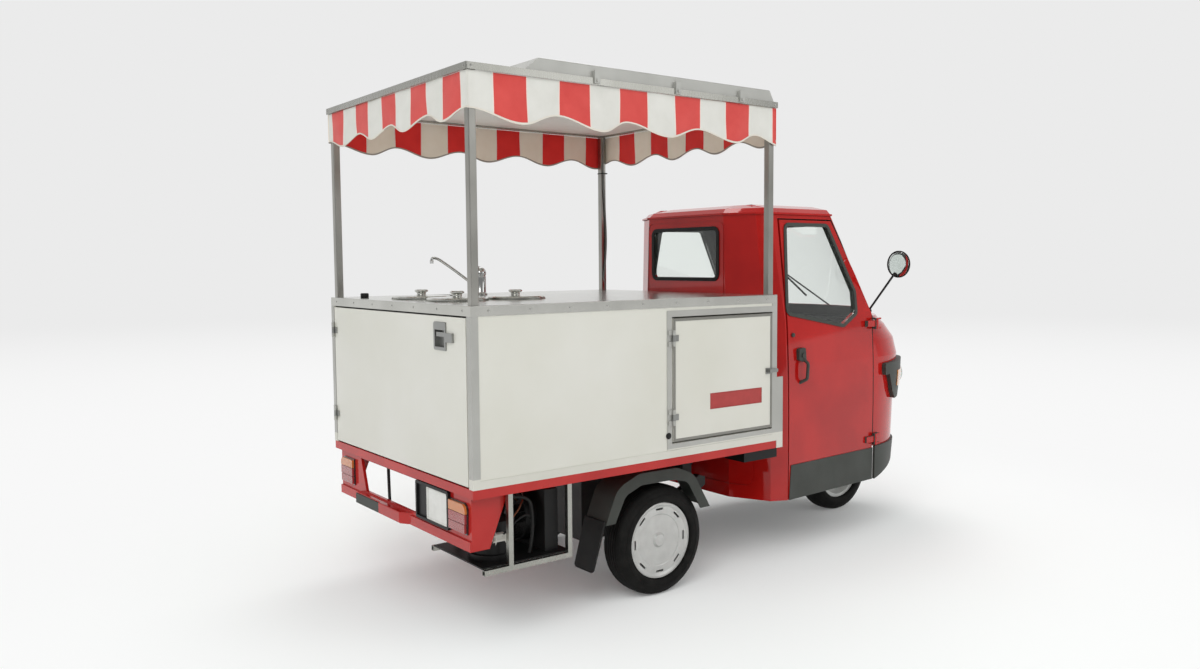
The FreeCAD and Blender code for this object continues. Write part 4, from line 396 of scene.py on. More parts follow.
def chassis_paint():
    """Thick black underbody paint, dusty in places."""
    material, tree = new_material("chassis_paint")
    colour, _ = mottle(tree, 60, "#141414", "#2B2A27", 0.4, 0.75, detail=6.0)
    return close_material(material, colour, {"Roughness": 0.55}, relief=(grain(tree, 4), 0.3))


# %% [markdown]
# ## Metal
# Stainless sheet is brushed along its length, and the fine streaks spread each highlight across
# them. Real streaks are a few hundredths of a millimetre wide, too fine to show, so they are drawn
# about a millimetre wide: one grain stretched fifty times along the brushing, in the roughness and
# as a very shallow relief. Plated parts are smooth, and the wheels are painted silver.


# %% Metal
def brushed_metal(name, light, dark, roughness, stretch, metallic=1.0, foot=None):
    """Sheet metal brushed along one axis; below a foot level its colour is a light cream and its metal is less,
    a painted reflection of the cream panels.
    """
    material, tree = new_material(name)
    streak = grain(tree, 0.9, stretch=stretch, detail=2.0)
    colour, cloud = mottle(tree, 180, dark, light)
    links = {}
    # Below the foot level the colour is a painted reflection of the cream panels: a light cream shade, and less
    # metal.
    if foot:
        low = add_node(tree, "Math", {"operation": "LESS_THAN", 1: foot}, {0: (split_places(tree), 2)})
        painted_cream_reflection = add_node(tree, "ValToRGB", {"stops": ((0.3, "#D3D2C8"), (0.7, "#DAD9D0"))}, {0: cloud})
        colour = (add_node(tree, "Mix", {"data_type": "RGBA"}, {0: low, 6: colour, 7: painted_cream_reflection}), 2)
        links["Metallic"] = add_node(tree, "MapRange", {"To Min": metallic, "To Max": 0.15}, {"Value": low})
    return close_material(material, colour, {"Metallic": metallic},
                          rough=(roughness - 0.07, roughness + 0.09, streak), relief=(streak, 0.012),
                          links=links)


def plain_metal(name, colour, roughness):
    """Plated or polished metal with faint smears."""
    material, tree = new_material(name)
    return close_material(material, None, {"Base Color": linear(colour), "Metallic": 1.0},
                          rough=(roughness, roughness + 0.1, grain(tree, 25)))


def wheel_silver():
    """Silver wheel paint with a fine metallic sparkle and a little road film."""
    material, tree = new_material("wheel_silver")
    colour, _ = mottle(tree, 45, "#C9CAC7", "#D4D5D2", 0.35, detail=5.0)
    return close_material(material, colour, {"Metallic": 0.35, "Roughness": 0.34, "Coat Weight": 0.4,
                                             "Coat Roughness": 0.15}, relief=(grain(tree, 0.6), 0.01))


# %% [markdown]
# ## Rubber, glass and lenses
# Rubber is nearly black and matt, with a bloom of dust. The windows are one pane with thickness,
# so real transmission works, and shadow rays pass straight through it: Cycles would otherwise
# darken the cab behind the glass. A lamp's lens is coloured plastic over a reflector. A gloss with
# upright ribs stands for both, because the reflector itself is hardly seen through the ribs.


# %% Rubber, glass and lenses
def rubber(name, dark, light, roughness):
    """Rubber: nearly black, matt, with a dusty bloom."""
    material, tree = new_material(name)
    colour, _ = mottle(tree, 40, dark, light, 0.35, 0.75, detail=6.0)
    return close_material(material, colour, {"Roughness": roughness, "Specular IOR Level": 0.35},
                          relief=(grain(tree, 1.5), 0.15))


def window_glass():
    """Clear float glass that lets light through to what is behind it, with faint smears."""
    material, tree = new_material("window_glass")
    tint = linear("#FAFDFB")
    smear = add_node(tree, "MapRange", {"To Min": 0.0, "To Max": 0.03}, {"Value": grain(tree, 90)})
    glass = add_node(tree, "BsdfPrincipled", {"Base Color": tint, "Transmission Weight": 1.0, "IOR": 1.45},
                     {"Roughness": smear})
    through = add_node(tree, "BsdfTransparent", {"Color": tint})
    path = add_node(tree, "LightPath")
    mixed = add_node(tree, "MixShader", links={0: (path, "Is Shadow Ray"), 1: glass, 2: through})
    add_node(tree, "OutputMaterial", links={"Surface": mixed})
    return material


RIB_TURNS = 1800.0  # radians per metre, for a rib every 3.5 mm
GASKET_DEPTH = 0.0085
INDICATOR_FROM = 0.33


def ribbed_lens(material, colour):
    """Moulded lens plastic over a reflector: a coloured gloss with fine upright ribs."""
    tree = material.node_tree
    turns = add_node(tree, "Math", {"operation": "MULTIPLY", 1: RIB_TURNS}, {0: (split_places(tree), "X")})
    ribs = add_node(tree, "Math", {"operation": "SINE"}, {0: turns})
    return close_material(material, (colour, 2), {"Roughness": 0.18, "Coat Weight": 1.0,
                                                  "Coat Roughness": 0.03, "Subsurface Weight": 0.15},
                          relief=(ribs, 0.25))


def tail_lens():
    """The tail lamp: an orange third over two red ones, and a black gasket behind."""
    material, tree = new_material("tail_lens")
    places = split_places(tree)
    low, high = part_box("tail_lamps")
    height = add_node(tree, "MapRange", {"From Min": low.z, "From Max": high.z}, {"Value": (places, "Z")})
    lens = add_node(tree, "ValToRGB", {"stops": ((0.0, "#9C3030"), (0.652, "#D07A35"))}, {0: height})
    lens.color_ramp.interpolation = "CONSTANT"
    proud = add_node(tree, "Math", {"operation": "GREATER_THAN", 1: high.y - GASKET_DEPTH},
                     {0: (places, "Y")})
    return ribbed_lens(material, add_node(tree, "Mix", {"data_type": "RGBA", 6: linear("#141414")},
                                          {0: proud, 7: lens}))


def head_lens():
    """The headlamps' clear ribbed glass, and the orange indicators outside them."""
    material, tree = new_material("head_lens")
    side = add_node(tree, "Math", {"operation": "ABSOLUTE"}, {0: (split_places(tree), "X")})
    outer = add_node(tree, "Math", {"operation": "GREATER_THAN", 1: INDICATOR_FROM}, {0: side})
    clear, pattern = mottle(tree, 9, "#B9BCBB", "#D4D6D5")
    orange = add_node(tree, "ValToRGB", {"stops": ((0.3, "#E08A35"), (0.7, "#E8963F"))}, {0: pattern})
    return ribbed_lens(material, add_node(tree, "Mix", {"data_type": "RGBA"},
                                          {0: outer, 6: clear, 7: orange}))


def seat_vinyl():
    """Dark woven-look vinyl."""
    material, tree = new_material("seat_vinyl")
    colour, _ = mottle(tree, 80, "#26272A", "#303135")
    return close_material(material, colour, {"Roughness": 0.5}, relief=(grain(tree, 1.1), 0.2))


# %% [markdown]
# ## Dressing the frame's own pieces
# Each node of the CAD record names a material slot, so one table dresses all of them. A few nodes
# then get a finish of their own, because the same metal looks different where it is brushed the
# other way, and the box frame's foot trims carry a painted reflection of the cream panels. The latch
# and hinges are part of a door's solid, so boxes in Object coordinates tell their steel from the laminate.

# %% The materials, by the record's slots
FINISHES = {
    "red_paint": red_enamel(),
    "white_paint": grained_plastic("ceiling_board", "#DEDDD6", "#E5E4DE", 0.5),
    "cream_panel": cream_laminate(),
    "stainless": brushed_metal("brushed_stainless", "#B4B4AE", "#A6A69F", 0.26, (1, 1, 0.02)),
    "aluminium_trim": brushed_metal("mill_aluminium", "#BDBDB8", "#B1B1AC", 0.42, (1, 0.02, 0.02), 0.45),
    "dark_steel": chassis_paint(),
    "dark_plastic": grained_plastic("grey_bumper_plastic", "#3E413D", "#464945"),
    "black_plastic": grained_plastic("black_plastic", "#101010", "#181818", 0.42),
    "tyre_rubber": rubber("tyre_rubber", "#1C1C1B", "#292826", 0.75),
    "wheel_steel": wheel_silver(),
    "black_rubber": rubber("black_rubber", "#151515", "#1F1F1E", 0.6),
    "clear_glass": window_glass(),
    "lamp_red": tail_lens(),
    "lamp_clear": head_lens(),
    "valance_cloth": rubber("cloth_core", "#B8352F", "#C0403A", 0.9),
    "seat_vinyl": seat_vinyl(),
    "cable_sheath": rubber("cable_sheath", "#707270", "#7A7C7A", 0.55),
    "tap_chrome": plain_metal("tap_chrome", "#C9C9C7", 0.12)}
DECK_ENAMEL = deck_enamel()
COUNTER_STEEL = brushed_metal("counter_stainless", "#D0D0CA", "#C2C2BC", 0.2, (0.02, 1, 1))
LID_STEEL = brushed_metal("lid_stainless", "#D6D6D1", "#CACAC4", 0.17, (1, 1, 0.02))


def dress(node_name, material):
    """Give a carried-over node its finish."""
    slots = NODES[node_name].data.materials
    slots.clear()
    slots.append(material)


for part in frame["record"]["subparts"]:
    dress(part["node"], FINISHES[part["material_slot"]])
for node_name in ("deck", "rear_apron"):
    dress(node_name, DECK_ENAMEL)
dress("counter_top", COUNTER_STEEL)
for node_name in ("well_lid_left", "well_lid_right", "well_lid_front"):
    dress(node_name, LID_STEEL)
LEAF = 0.028
# Below this height the box frame's foot trims get a painted reflection of the cream panels.
PAINTED_REFLECTION_LEVEL = 0.6015
LATCH_LOW, LATCH_HIGH = (-0.4225, 1.012), (-0.3355, 1.109)  # across and up, on the rear door
PROUD, FAR = 0.0003, 2.0  # what stands proud of a leaf is steel, as far as the box reaches
door_face, hatch_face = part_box("rear_door")[0].y + LEAF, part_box("side_hatch")[1].x - LEAF
dress("box_frame", brushed_metal("frame_aluminium_reflection_painted", "#BDBDB8", "#B1B1AC", 0.42, (1, 0.02, 0.02), 0.5,
                                 foot=PAINTED_REFLECTION_LEVEL))
dress("canopy_posts", brushed_metal("post_stainless", "#B2B1AB", "#A2A19B", 0.3, (1, 1, 0.02)))
dress("dashboard", grained_plastic("dash_plastic", "#464845", "#50524F", 0.55))
dress("rear_door", cream_laminate((
    ((LATCH_LOW[0], door_face - 0.02, LATCH_LOW[1]), (LATCH_HIGH[0], FAR, LATCH_HIGH[1])),
    ((-1.0, door_face + PROUD, 0.0), (1.0, FAR, FAR)))))
dress("side_hatch", cream_laminate((((-FAR, -1.0, 0.0), (hatch_face - PROUD, FAR, FAR)),)))
post_cable.data.materials.append(FINISHES["cable_sheath"])
print("finishes:", len(FINISHES), "for", len(NODES), "nodes")

# %% [markdown]
# ## The striped valance
# A skirt of acrylic awning cloth hangs from the canopy rim on all four sides: red and white panels
# sewn edge to edge, with a scalloped hem in cream tape. A cloth simulation could hang it, but the
# scallops differ in width, so each side is a fine grid whose points are moved one by one. Solidify
# then gives it the cloth's thickness. The UV map counts stripes along it, so the seams follow the
# cloth and not the air around it.

# %% Awning cloth
SEAM = 0.016  # half a seam, as a share of a stripe
CANOPY_MIDDLE = (0.0, 0.63, 1.84)


def striped_cloth():
    """Solution-dyed acrylic canvas: plain weave, slight sheen; its inner faces are painted brighter, as painted
    light shining through the cloth.
    """
    material, tree = new_material("striped_cloth_painted_backlight")
    threads = add_node(tree, "UVMap", {"uv_map": "stripes"})
    count = add_node(tree, "SeparateXYZ", links={0: threads})
    along = add_node(tree, "Math", {"operation": "FLOORED_MODULO", 1: 2.0}, {0: (count, "X")})
    is_red = add_node(tree, "Math", {"operation": "GREATER_THAN", 1: 1.0}, {0: along})
    from_seam = add_node(tree, "Math", {"operation": "PINGPONG", 1: 0.5}, {0: (count, "X")})
    seam = add_node(tree, "Math", {"operation": "LESS_THAN", 1: SEAM}, {0: from_seam})
    # This mask picks colours by facing: the inner faces get brighter, redder and warmer copies of the outer
    # shades, painted light for light shining through the cloth.
    out = facing_out(tree, CANOPY_MIDDLE)
    fade = grain(tree, 70, detail=4.0)
    outer_red, backlit_red_painted, outer_white, backlit_white_painted, tape = (
        add_node(tree, "ValToRGB", {"stops": ((0.3, dark), (0.7, light))}, {0: fade})
        for dark, light in (("#D23F3A", "#DB4B45"), ("#E01A15", "#EA241E"), ("#D9D8D1", "#E1E0DA"),
                            ("#F0E3D1", "#F6EBDB"), ("#EBD9CE", "#F1E2D8")))
    red = add_node(tree, "Mix", {"data_type": "RGBA"}, {0: out, 6: backlit_red_painted, 7: outer_red})
    white = add_node(tree, "Mix", {"data_type": "RGBA"}, {0: out, 6: backlit_white_painted, 7: outer_white})
    panels = add_node(tree, "Mix", {"data_type": "RGBA"}, {0: is_red, 6: (white, 2), 7: (red, 2)})
    colour = add_node(tree, "Mix", {"data_type": "RGBA"}, {0: seam, 6: (panels, 2), 7: tape})
    weave = grain(tree, 0.7, stretch=(1, 1, 2.5), detail=1.0)
    height = add_node(tree, "Math", {"operation": "ADD"}, {0: weave, 1: seam})
    return close_material(material, (colour, 2), {"Roughness": 0.72, "Sheen Weight": 0.2,
                                                  "Sheen Roughness": 0.5}, relief=(height, 0.25))


def hem_tape():
    """Cream bias tape, ribbed across; its inner face is painted greyer, as painted shade inside the canopy."""
    material, tree = new_material("cream_hem_tape_painted_shade")
    outer, ribs = mottle(tree, 0.8, "#D8D2C6", "#E4DFD5")
    # The inner colour is painted shade: a greyer copy of the cream for the tape's face inside the canopy.
    inner = add_node(tree, "ValToRGB", {"stops": ((0.3, "#9B9389"), (0.7, "#A8A096"))}, {0: ribs})
    colour = add_node(tree, "Mix", {"data_type": "RGBA"},
                      {0: facing_out(tree, CANOPY_MIDDLE), 6: inner, 7: outer})
    return close_material(material, (colour, 2), {"Roughness": 0.8}, relief=(ribs, 0.2))


AWNING, TAPE = striped_cloth(), hem_tape()
print("cloth and tape:", AWNING.name, TAPE.name)

# %% How each side hangs
CLOTH, TAPE_THICKNESS = 0.0014, 0.0028
UNDER_RIM = 0.001
rim_low, rim_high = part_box("canopy_frame")
valance_low, valance_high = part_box("valance")
VALANCE_TOP = valance_high.z - UNDER_RIM
RIGHT, LEFT = valance_low.x + 0.002, valance_high.x - 0.002
REAR, FRONT = valance_high.y - 0.002, valance_low.y + 0.002
# name, start corner, end corner, first seam, stripe pitch, first stripe is red,
# hem's turning points as (distance along, height)
SIDES = (
    ("right", (RIGHT, REAR), (RIGHT, FRONT), 0.096, 0.1293, False,
     ((0.010, 1.797), (0.202, 1.757), (0.349, 1.797), (0.534, 1.757), (0.651, 1.799), (0.838, 1.760),
      (0.997, 1.800), (1.182, 1.762), (1.297, 1.800), (1.430, 1.765))),
    ("rear", (RIGHT, REAR), (LEFT, REAR), 0.046, 0.1197, False,
     ((0.017, 1.800), (0.166, 1.770), (0.288, 1.806), (0.460, 1.770), (0.582, 1.806), (0.726, 1.771),
      (0.864, 1.806), (1.006, 1.772), (1.168, 1.806))),
    ("left", (LEFT, REAR), (LEFT, FRONT), 0.0415, 0.1265, False,
     ((0.020, 1.800), (0.190, 1.764), (0.300, 1.799), (0.460, 1.764), (0.610, 1.799), (0.755, 1.764),
      (0.915, 1.799), (1.080, 1.764), (1.225, 1.799), (1.370, 1.764), (1.430, 1.775))),
    ("front", (LEFT, FRONT), (RIGHT, FRONT), 0.020, 0.1200, True,
     ((0.0, 1.785), (0.095, 1.799), (0.235, 1.765), (0.410, 1.799), (0.530, 1.765), (0.690, 1.799),
      (0.810, 1.765), (0.960, 1.799), (1.080, 1.765), (1.168, 1.785))))


def hem_height(turns, along):
    """The hem between its turning points, as half waves."""
    if along <= turns[0][0]:
        return turns[0][1]
    for (a, low), (b, high) in zip(turns, turns[1:]):
        if along <= b:
            share = 0.5 - 0.5 * math.cos(math.pi * (along - a) / (b - a))
            return low + (high - low) * share
    return turns[-1][1]


GRID = 0.008
CORNER = 0.03  # near each end the cloth is drawn back to the corner
MEAN_HEM, HALF_SCALLOP = 1.782, 0.02
INSIDE_RIM, SWING, MEAN_SWING, SAG, RIPPLE = 0.003, 0.0045, 0.0015, 0.0016, 0.0008


def hung_grid(name, side, top_share, steps_down):
    """One grid of cloth on a side of the canopy, from a share of the drop down to the hem."""
    _, start, end, first, pitch, red_first, turns = side
    start, end = Vector((*start, 0)), Vector((*end, 0))
    length = (end - start).length
    way = (end - start) / length
    outward = Vector((way.y, -way.x, 0))
    if outward.dot((start + end) / 2 - Vector((*CANOPY_MIDDLE[:2], 0))) < 0:
        outward = -outward
    deselect()
    bpy.ops.mesh.primitive_grid_add(x_subdivisions=int(length / GRID), y_subdivisions=steps_down, size=2)
    piece = named(name)
    uv = piece.data.uv_layers.active
    uv.name = "stripes"
    spots = []
    for point in piece.data.vertices:
        along = (point.co.x + 1) / 2 * length
        down = top_share + (1 - top_share) * (1 - point.co.y) / 2
        hem = hem_height(turns, along)
        drop = VALANCE_TOP - hem
        scallop = (hem - MEAN_HEM) / HALF_SCALLOP
        # The hem swings out at its low points, and each panel sags a little between its seams.
        swing = (MEAN_SWING - SWING * scallop) * down ** 1.6
        panel = math.sin(math.pi * ((along - first) / pitch % 1.0))
        sag = SAG * panel * math.sin(math.pi * down) + RIPPLE * math.sin(along * 41 + down * 5)
        inside_end = min(1.0, min(along, length - along) / CORNER)
        inward = INSIDE_RIM - (swing + sag) * inside_end
        point.co = start + way * along - outward * inward + Vector((0, 0, VALANCE_TOP - drop * down))
        spots.append(((along - first) / pitch + (6.0 if red_first else 5.0), drop * down))
    for loop in piece.data.loops:
        uv.data[loop.index].uv = spots[loop.vertex_index]
    return piece, length


def thicken(piece, thickness):
    """Give a sheet its thickness to both sides, and smooth it."""
    only(piece)
    bpy.ops.object.modifier_add(type="SOLIDIFY")
    solidify = piece.modifiers[-1]
    solidify.thickness, solidify.offset = thickness, 0.0
    bpy.ops.object.modifier_apply(modifier=solidify.name)
    bpy.ops.object.shade_smooth_by_angle(angle=math.radians(50))


HEM_FROM = 0.955  # the tape covers the last share of the drop
CLOTH_STEPS, TAPE_STEPS = 18, 2
for side in SIDES:
    name, turns = side[0], side[-1]
    cloth, length = hung_grid("valance_" + name, side, 0.0, CLOTH_STEPS)
    thicken(cloth, CLOTH)
    cloth.data.materials.append(AWNING)
    tape, _ = hung_grid("hem_" + name, side, HEM_FROM, TAPE_STEPS)
    thicken(tape, TAPE_THICKNESS)
    tape.data.materials.append(TAPE)
    for piece in (cloth, tape):
        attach(piece, "truck")
    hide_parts("valance")

# %% [markdown]
# ## Tyres
# A small van tyre is a ring of one cross-section. A torus would need its whole tube reshaped, so
# the outline is drawn once as a loop of points and spun round the axle. The circumferential grooves
# are real; the fine cuts across the shoulders are bump, placed by a UV map that runs round the
# tread in metres.


# %% Turning an outline round an axle
def recalculate(piece):
    """Merge doubles and point every face outwards."""
    only(piece)
    bpy.ops.object.mode_set(mode="EDIT")
    bpy.ops.mesh.select_all(action="SELECT")
    bpy.ops.mesh.remove_doubles(threshold=0.00002)
    bpy.ops.mesh.normals_make_consistent(inside=False)
    bpy.ops.object.mode_set(mode="OBJECT")


def turned(name, outline, centre, axis, steps, smooth=35):
    """Spin a closed outline of (along the axle, radius) points, in metres, round an axle."""
    centre, axis = Vector(centre), Vector(axis)
    side = axis.orthogonal().normalized()
    deselect()
    bpy.ops.mesh.primitive_circle_add(vertices=len(outline), radius=1)
    piece = named(name)
    for point, (along, radius) in zip(piece.data.vertices, outline):
        point.co = centre + axis * along + side * radius
    only(piece)
    bpy.ops.object.mode_set(mode="EDIT")
    bpy.ops.mesh.select_all(action="SELECT")
    bpy.ops.mesh.spin(steps=steps, angle=2 * math.pi, center=centre, axis=axis)
    bpy.ops.object.mode_set(mode="OBJECT")
    recalculate(piece)
    bpy.ops.object.shade_smooth_by_angle(angle=math.radians(smooth))
    return piece


def joined(name, pieces):
    """Join several meshes into one piece."""
    deselect()
    for piece in pieces:
        piece.select_set(True)
    bpy.context.view_layer.objects.active = pieces[0]
    bpy.ops.object.join()
    return named(name)


def finish_piece(piece, body, material, replaced=()):
    """Material, slot and body of a finished piece."""
    piece.data.materials.clear()
    piece.data.materials.append(material)
    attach(piece, body)
    if replaced:
        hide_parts(*replaced)
    return piece


# %% Tyre rubber with shoulder cuts
SHOULDER, HALF_BAND = 0.040, 0.010
CUT_PITCH, HALF_CUT = 0.0092, 0.0012


def tread_rubber():
    """Black tyre rubber, greyed by dust on the tread; short cuts across both shoulders."""
    material, tree = new_material("tread_rubber")
    lay = add_node(tree, "UVMap", {"uv_map": "tread"})
    place = add_node(tree, "SeparateXYZ", links={0: lay})
    off_middle = add_node(tree, "Math", {"operation": "ABSOLUTE"}, {0: (place, "Y")})
    past = add_node(tree, "Math", {"operation": "SUBTRACT", 1: SHOULDER}, {0: off_middle})
    off_shoulder = add_node(tree, "Math", {"operation": "ABSOLUTE"}, {0: past})
    on_shoulder = add_node(tree, "Math", {"operation": "LESS_THAN", 1: HALF_BAND}, {0: off_shoulder})
    pitch = add_node(tree, "Math", {"operation": "PINGPONG", 1: CUT_PITCH}, {0: (place, "X")})
    cut = add_node(tree, "Math", {"operation": "LESS_THAN", 1: HALF_CUT}, {0: pitch})
    cuts = add_node(tree, "Math", {"operation": "MULTIPLY"}, {0: cut, 1: on_shoulder})
    height = add_node(tree, "Math", {"operation": "SUBTRACT"}, {0: grain(tree, 1.5), 1: cuts})
    colour, _ = mottle(tree, 35, "#131312", "#21201E", 0.35, 0.8, detail=6.0)
    return close_material(material, colour, {"Roughness": 0.7, "Specular IOR Level": 0.2},
                          relief=(height, 0.5))


# %% Tyres
TREAD_HALF = (  # along the axle and radius, from the tread's middle to the bead
    (0.0062, 0.2166), (0.0068, 0.2126), (0.0088, 0.2126), (0.0094, 0.2166),
    (0.0182, 0.2164), (0.0188, 0.2122), (0.0212, 0.2120), (0.0218, 0.2160),
    (0.0296, 0.2148), (0.0302, 0.2112), (0.0322, 0.2108), (0.0328, 0.2142),
    (0.0410, 0.2112), (0.0470, 0.2062), (0.0495, 0.2020), (0.0510, 0.1985), (0.0518, 0.1978),
    (0.0560, 0.1890), (0.0590, 0.1790), (0.0604, 0.1786), (0.0608, 0.1760), (0.0598, 0.1752),
    (0.0612, 0.1650), (0.0600, 0.1580), (0.0570, 0.1535), (0.0552, 0.1533), (0.0545, 0.1522),
    (0.0500, 0.1520), (0.0440, 0.1520), (0.0400, 0.1560), (0.0380, 0.1750), (0.0330, 0.1960))
TYRE_OUTLINE = TREAD_HALF + tuple((-a, r) for a, r in reversed(TREAD_HALF))
TREAD = tread_rubber()
TREAD_RADIUS = 0.217
SPIN_STEPS = 96
ACROSS, UPRIGHT = (1, 0, 0), (0, 0, 1)
WHEELS = (("rear_tyre_left", "rear_wheel_left", ACROSS), ("rear_tyre_right", "rear_wheel_right", ACROSS),
          ("front_tyre", "front_wheel", ACROSS), ("spare_tyre", "truck", UPRIGHT))
for name, body, axis in WHEELS:
    low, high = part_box("spare_wheel" if name == "spare_tyre" else name)
    middle, axle = (low + high) / 2, Vector(axis)
    if name == "front_tyre":
        rim_front, rim_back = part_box("front_rim")
        middle = Vector((0, rim_front.y / 2 + rim_back.y / 2, (high.z + low.z) / 2))
    tyre = turned(name + "_tread", TYRE_OUTLINE, middle, axle, SPIN_STEPS)
    uv = tyre.data.uv_layers.new(name="tread")
    flat = axle.orthogonal().normalized()
    across = axle.cross(flat)
    for face in tyre.data.polygons:
        first = None
        for index in face.loop_indices:
            spot = tyre.data.vertices[tyre.data.loops[index].vertex_index].co - middle
            angle = math.atan2(spot.dot(across), spot.dot(flat))
            if first is not None and angle - first > math.pi:
                angle -= 2 * math.pi
            elif first is not None and first - angle > math.pi:
                angle += 2 * math.pi
            first = angle if first is None else first
            uv.data[index].uv = (angle * TREAD_RADIUS, spot.dot(axle))
    finish_piece(tyre, body, TREAD, () if name == "spare_tyre" else (name,))
    print(name, "points:", len(tyre.data.vertices))

# %% [markdown]
# ## The spare wheel's rim
# The spare hangs flat under the deck. Its tyre is a copy of the others, so the plain solid is
# replaced whole, and a pressed steel disc is turned for the middle: flange, well and bolt circle.

# %% Spare rim
spare_low, spare_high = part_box("spare_wheel")
spare_middle = (spare_low + spare_high) / 2
RIM_OUTLINE = ((0.047, 0.1515), (0.047, 0.146), (0.038, 0.142), (0.030, 0.128), (0.004, 0.122), (-0.004, 0.100),
               (0.006, 0.078), (0.006, 0.030), (0.003, 0.030), (0.003, 0.078), (-0.007, 0.100),
               (0.001, 0.125), (-0.030, 0.132), (-0.038, 0.142), (-0.047, 0.146), (-0.047, 0.1515),
               (-0.030, 0.1505), (0.030, 0.1505))
spare_rim = turned("spare_rim_disc", RIM_OUTLINE, spare_middle, (0, 0, 1), 64)
finish_piece(spare_rim, "truck", FINISHES["wheel_steel"], ("spare_wheel",))
print("spare rim points:", len(spare_rim.data.vertices))

# %% [markdown]
# ## Plates and small sheet parts
# The number plate and the sign on the hatch are blank: a thin sheet with rounded corners and a
# pressed border. A plane with Solidify could do, but a cube at its size keeps both faces exact: its
# upright edges are bevelled for the corners, and its face is inset and pushed in.


# %% Rounded plates
def plate(name, low, high, out, corner, border, depth):
    """A rounded sheet between two corners; its face towards out gets a border pressed round it."""
    low, high = Vector(low), Vector(high)
    out = Vector(out)
    deselect()
    bpy.ops.mesh.primitive_cube_add(size=1, location=(0, 0, 0))
    piece = named(name)
    for point in piece.data.vertices:
        point.co = [(a + b) / 2 + c * (b - a) for a, b, c in zip(low, high, point.co)]
    mesh = bmesh.new()
    mesh.from_mesh(piece.data)
    upright = [e for e in mesh.edges if abs((e.verts[1].co - e.verts[0].co).normalized().dot(out)) > 0.9]
    for e in mesh.edges:
        e.select_set(e in upright)
    mesh.to_mesh(piece.data)
    mesh.free()
    only(piece)
    bpy.ops.object.mode_set(mode="EDIT")
    bpy.ops.mesh.select_mode(type="EDGE")
    bpy.ops.mesh.bevel(offset=corner, segments=6, affect="EDGES")
    bpy.ops.mesh.select_mode(type="FACE")
    bpy.ops.mesh.select_all(action="DESELECT")
    bpy.ops.object.mode_set(mode="OBJECT")
    for face in piece.data.polygons:
        face.select = face.normal.dot(out) > 0.9
    bpy.ops.object.mode_set(mode="EDIT")
    bpy.ops.mesh.inset(thickness=border, depth=0)
    bpy.ops.mesh.inset(thickness=depth, depth=-depth)
    bpy.ops.object.mode_set(mode="OBJECT")
    bpy.ops.object.shade_smooth_by_angle(angle=math.radians(30))
    return piece


def painted_sheet(name, light, dark, roughness):
    """Sheet aluminium under smooth paint, with a trace of road film."""
    material, tree = new_material(name)
    colour, film = mottle(tree, 30, dark, light, detail=4.0)
    return close_material(material, colour, {"Coat Weight": 0.3},
                          rough=(roughness, roughness + 0.12, film), relief=(film, 0.02))


BEHIND, RIGHT_SIDE = (0, 1, 0), (-1, 0, 0)
bracket_low, bracket_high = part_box("plate_bracket")
number_plate = plate("number_plate", (bracket_low.x + 0.011, bracket_high.y - 0.007, bracket_low.z + 0.011),
                     (bracket_high.x - 0.085, bracket_high.y - 0.0052, bracket_high.z - 0.011), BEHIND,
                     0.006, 0.003, 0.0006)
finish_piece(number_plate, "truck", painted_sheet("plate_white", "#E4E4E0", "#D9D9D4", 0.3))
HATCH_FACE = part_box("box_frame")[1].x * -1
sign = plate("hatch_sign", (HATCH_FACE - 0.0009, 0.008, 0.733), (HATCH_FACE + 0.0001, 0.292, 0.795),
             RIGHT_SIDE, 0.001, 0.0022, 0.0002)
finish_piece(sign, "box_hatch", painted_sheet("sign_red", "#B0302C", "#A62925", 0.4))
print("plates: number plate and hatch sign")

# %% [markdown]
# ## Mirror glass
# A slightly crowned disc of mirrored glass sits in each mirror's recess. It is turned like the
# tyres. The driver sets a mirror inward, so the finish leans the surface's normal that way.

# %% Mirror glass
INWARD_LEAN = 0.23
GLASS_PLACE = Vector((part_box("mirrors")[1].x - 0.062, -0.9168, 1.285))
GLASS_OUTLINE = ((0.0, 0.0), (0.0, 0.0562), (0.0009, 0.0566), (0.0014, 0.0555), (0.0018, 0.040), (0.0020, 0.0))


def silvered_glass():
    """Mirrored glass that looks inward past the door, as the driver sets it."""
    material, tree = new_material("silvered_glass")
    colour, _ = mottle(tree, 25, "#D9DDDB", "#E4E7E6", 0.35)
    side = add_node(tree, "Math", {"operation": "SIGN"}, {0: split_places(tree)})
    lean = add_node(tree, "Math", {"operation": "MULTIPLY", 1: -INWARD_LEAN}, {0: side})
    inward = add_node(tree, "CombineXYZ", links={0: lean})
    face = add_node(tree, "NewGeometry")
    leaning = add_node(tree, "VectorMath", {"operation": "ADD"}, {0: (face, "Normal"), 1: inward})
    normal = add_node(tree, "VectorMath", {"operation": "NORMALIZE"}, {0: leaning})
    return close_material(material, colour, {"Metallic": 1.0, "Roughness": 0.03},
                          links={"Normal": normal})


silvered = silvered_glass()
for side, to_side in (("left", 1), ("right", -1)):
    place = Vector((to_side * GLASS_PLACE.x, GLASS_PLACE.y, GLASS_PLACE.z))
    glass = turned("mirror_glass_" + side, GLASS_OUTLINE, place, BEHIND, 48, 60)
    finish_piece(glass, "truck", silvered)
print("mirror glass: two discs")

# %% [markdown]
# ## Rivets, bolts and caps
# Pop rivets hold the counter's edge and the canopy's rim. An Array modifier could repeat them, but
# their places are plain lists: one domed head is turned, copied to each place, and the copies are
# joined into one piece per edge. A larger head is the drain plug low on the box.


# %% Rivet rows
def row_of(name, heads, axis, radius, height, material, steps=12):
    """Domed heads at several places, all facing along an axis, as one piece."""
    dome = ((0.0, 0.0), (0.0, radius), (height * 0.35, radius), (height * 0.8, radius * 0.62), (height, 0.0))
    pattern = turned(name + "_first", dome, (0, 0, 0), axis, steps, 60)
    copies = []
    for place in heads:
        copy = bpy.data.objects.new(name + "_copy", pattern.data.copy())
        bpy.context.scene.collection.objects.link(copy)
        copy.data.transform(Matrix.Translation(place))
        copies.append(copy)
    bpy.data.objects.remove(pattern)
    return finish_piece(joined(name, copies), "truck", material)


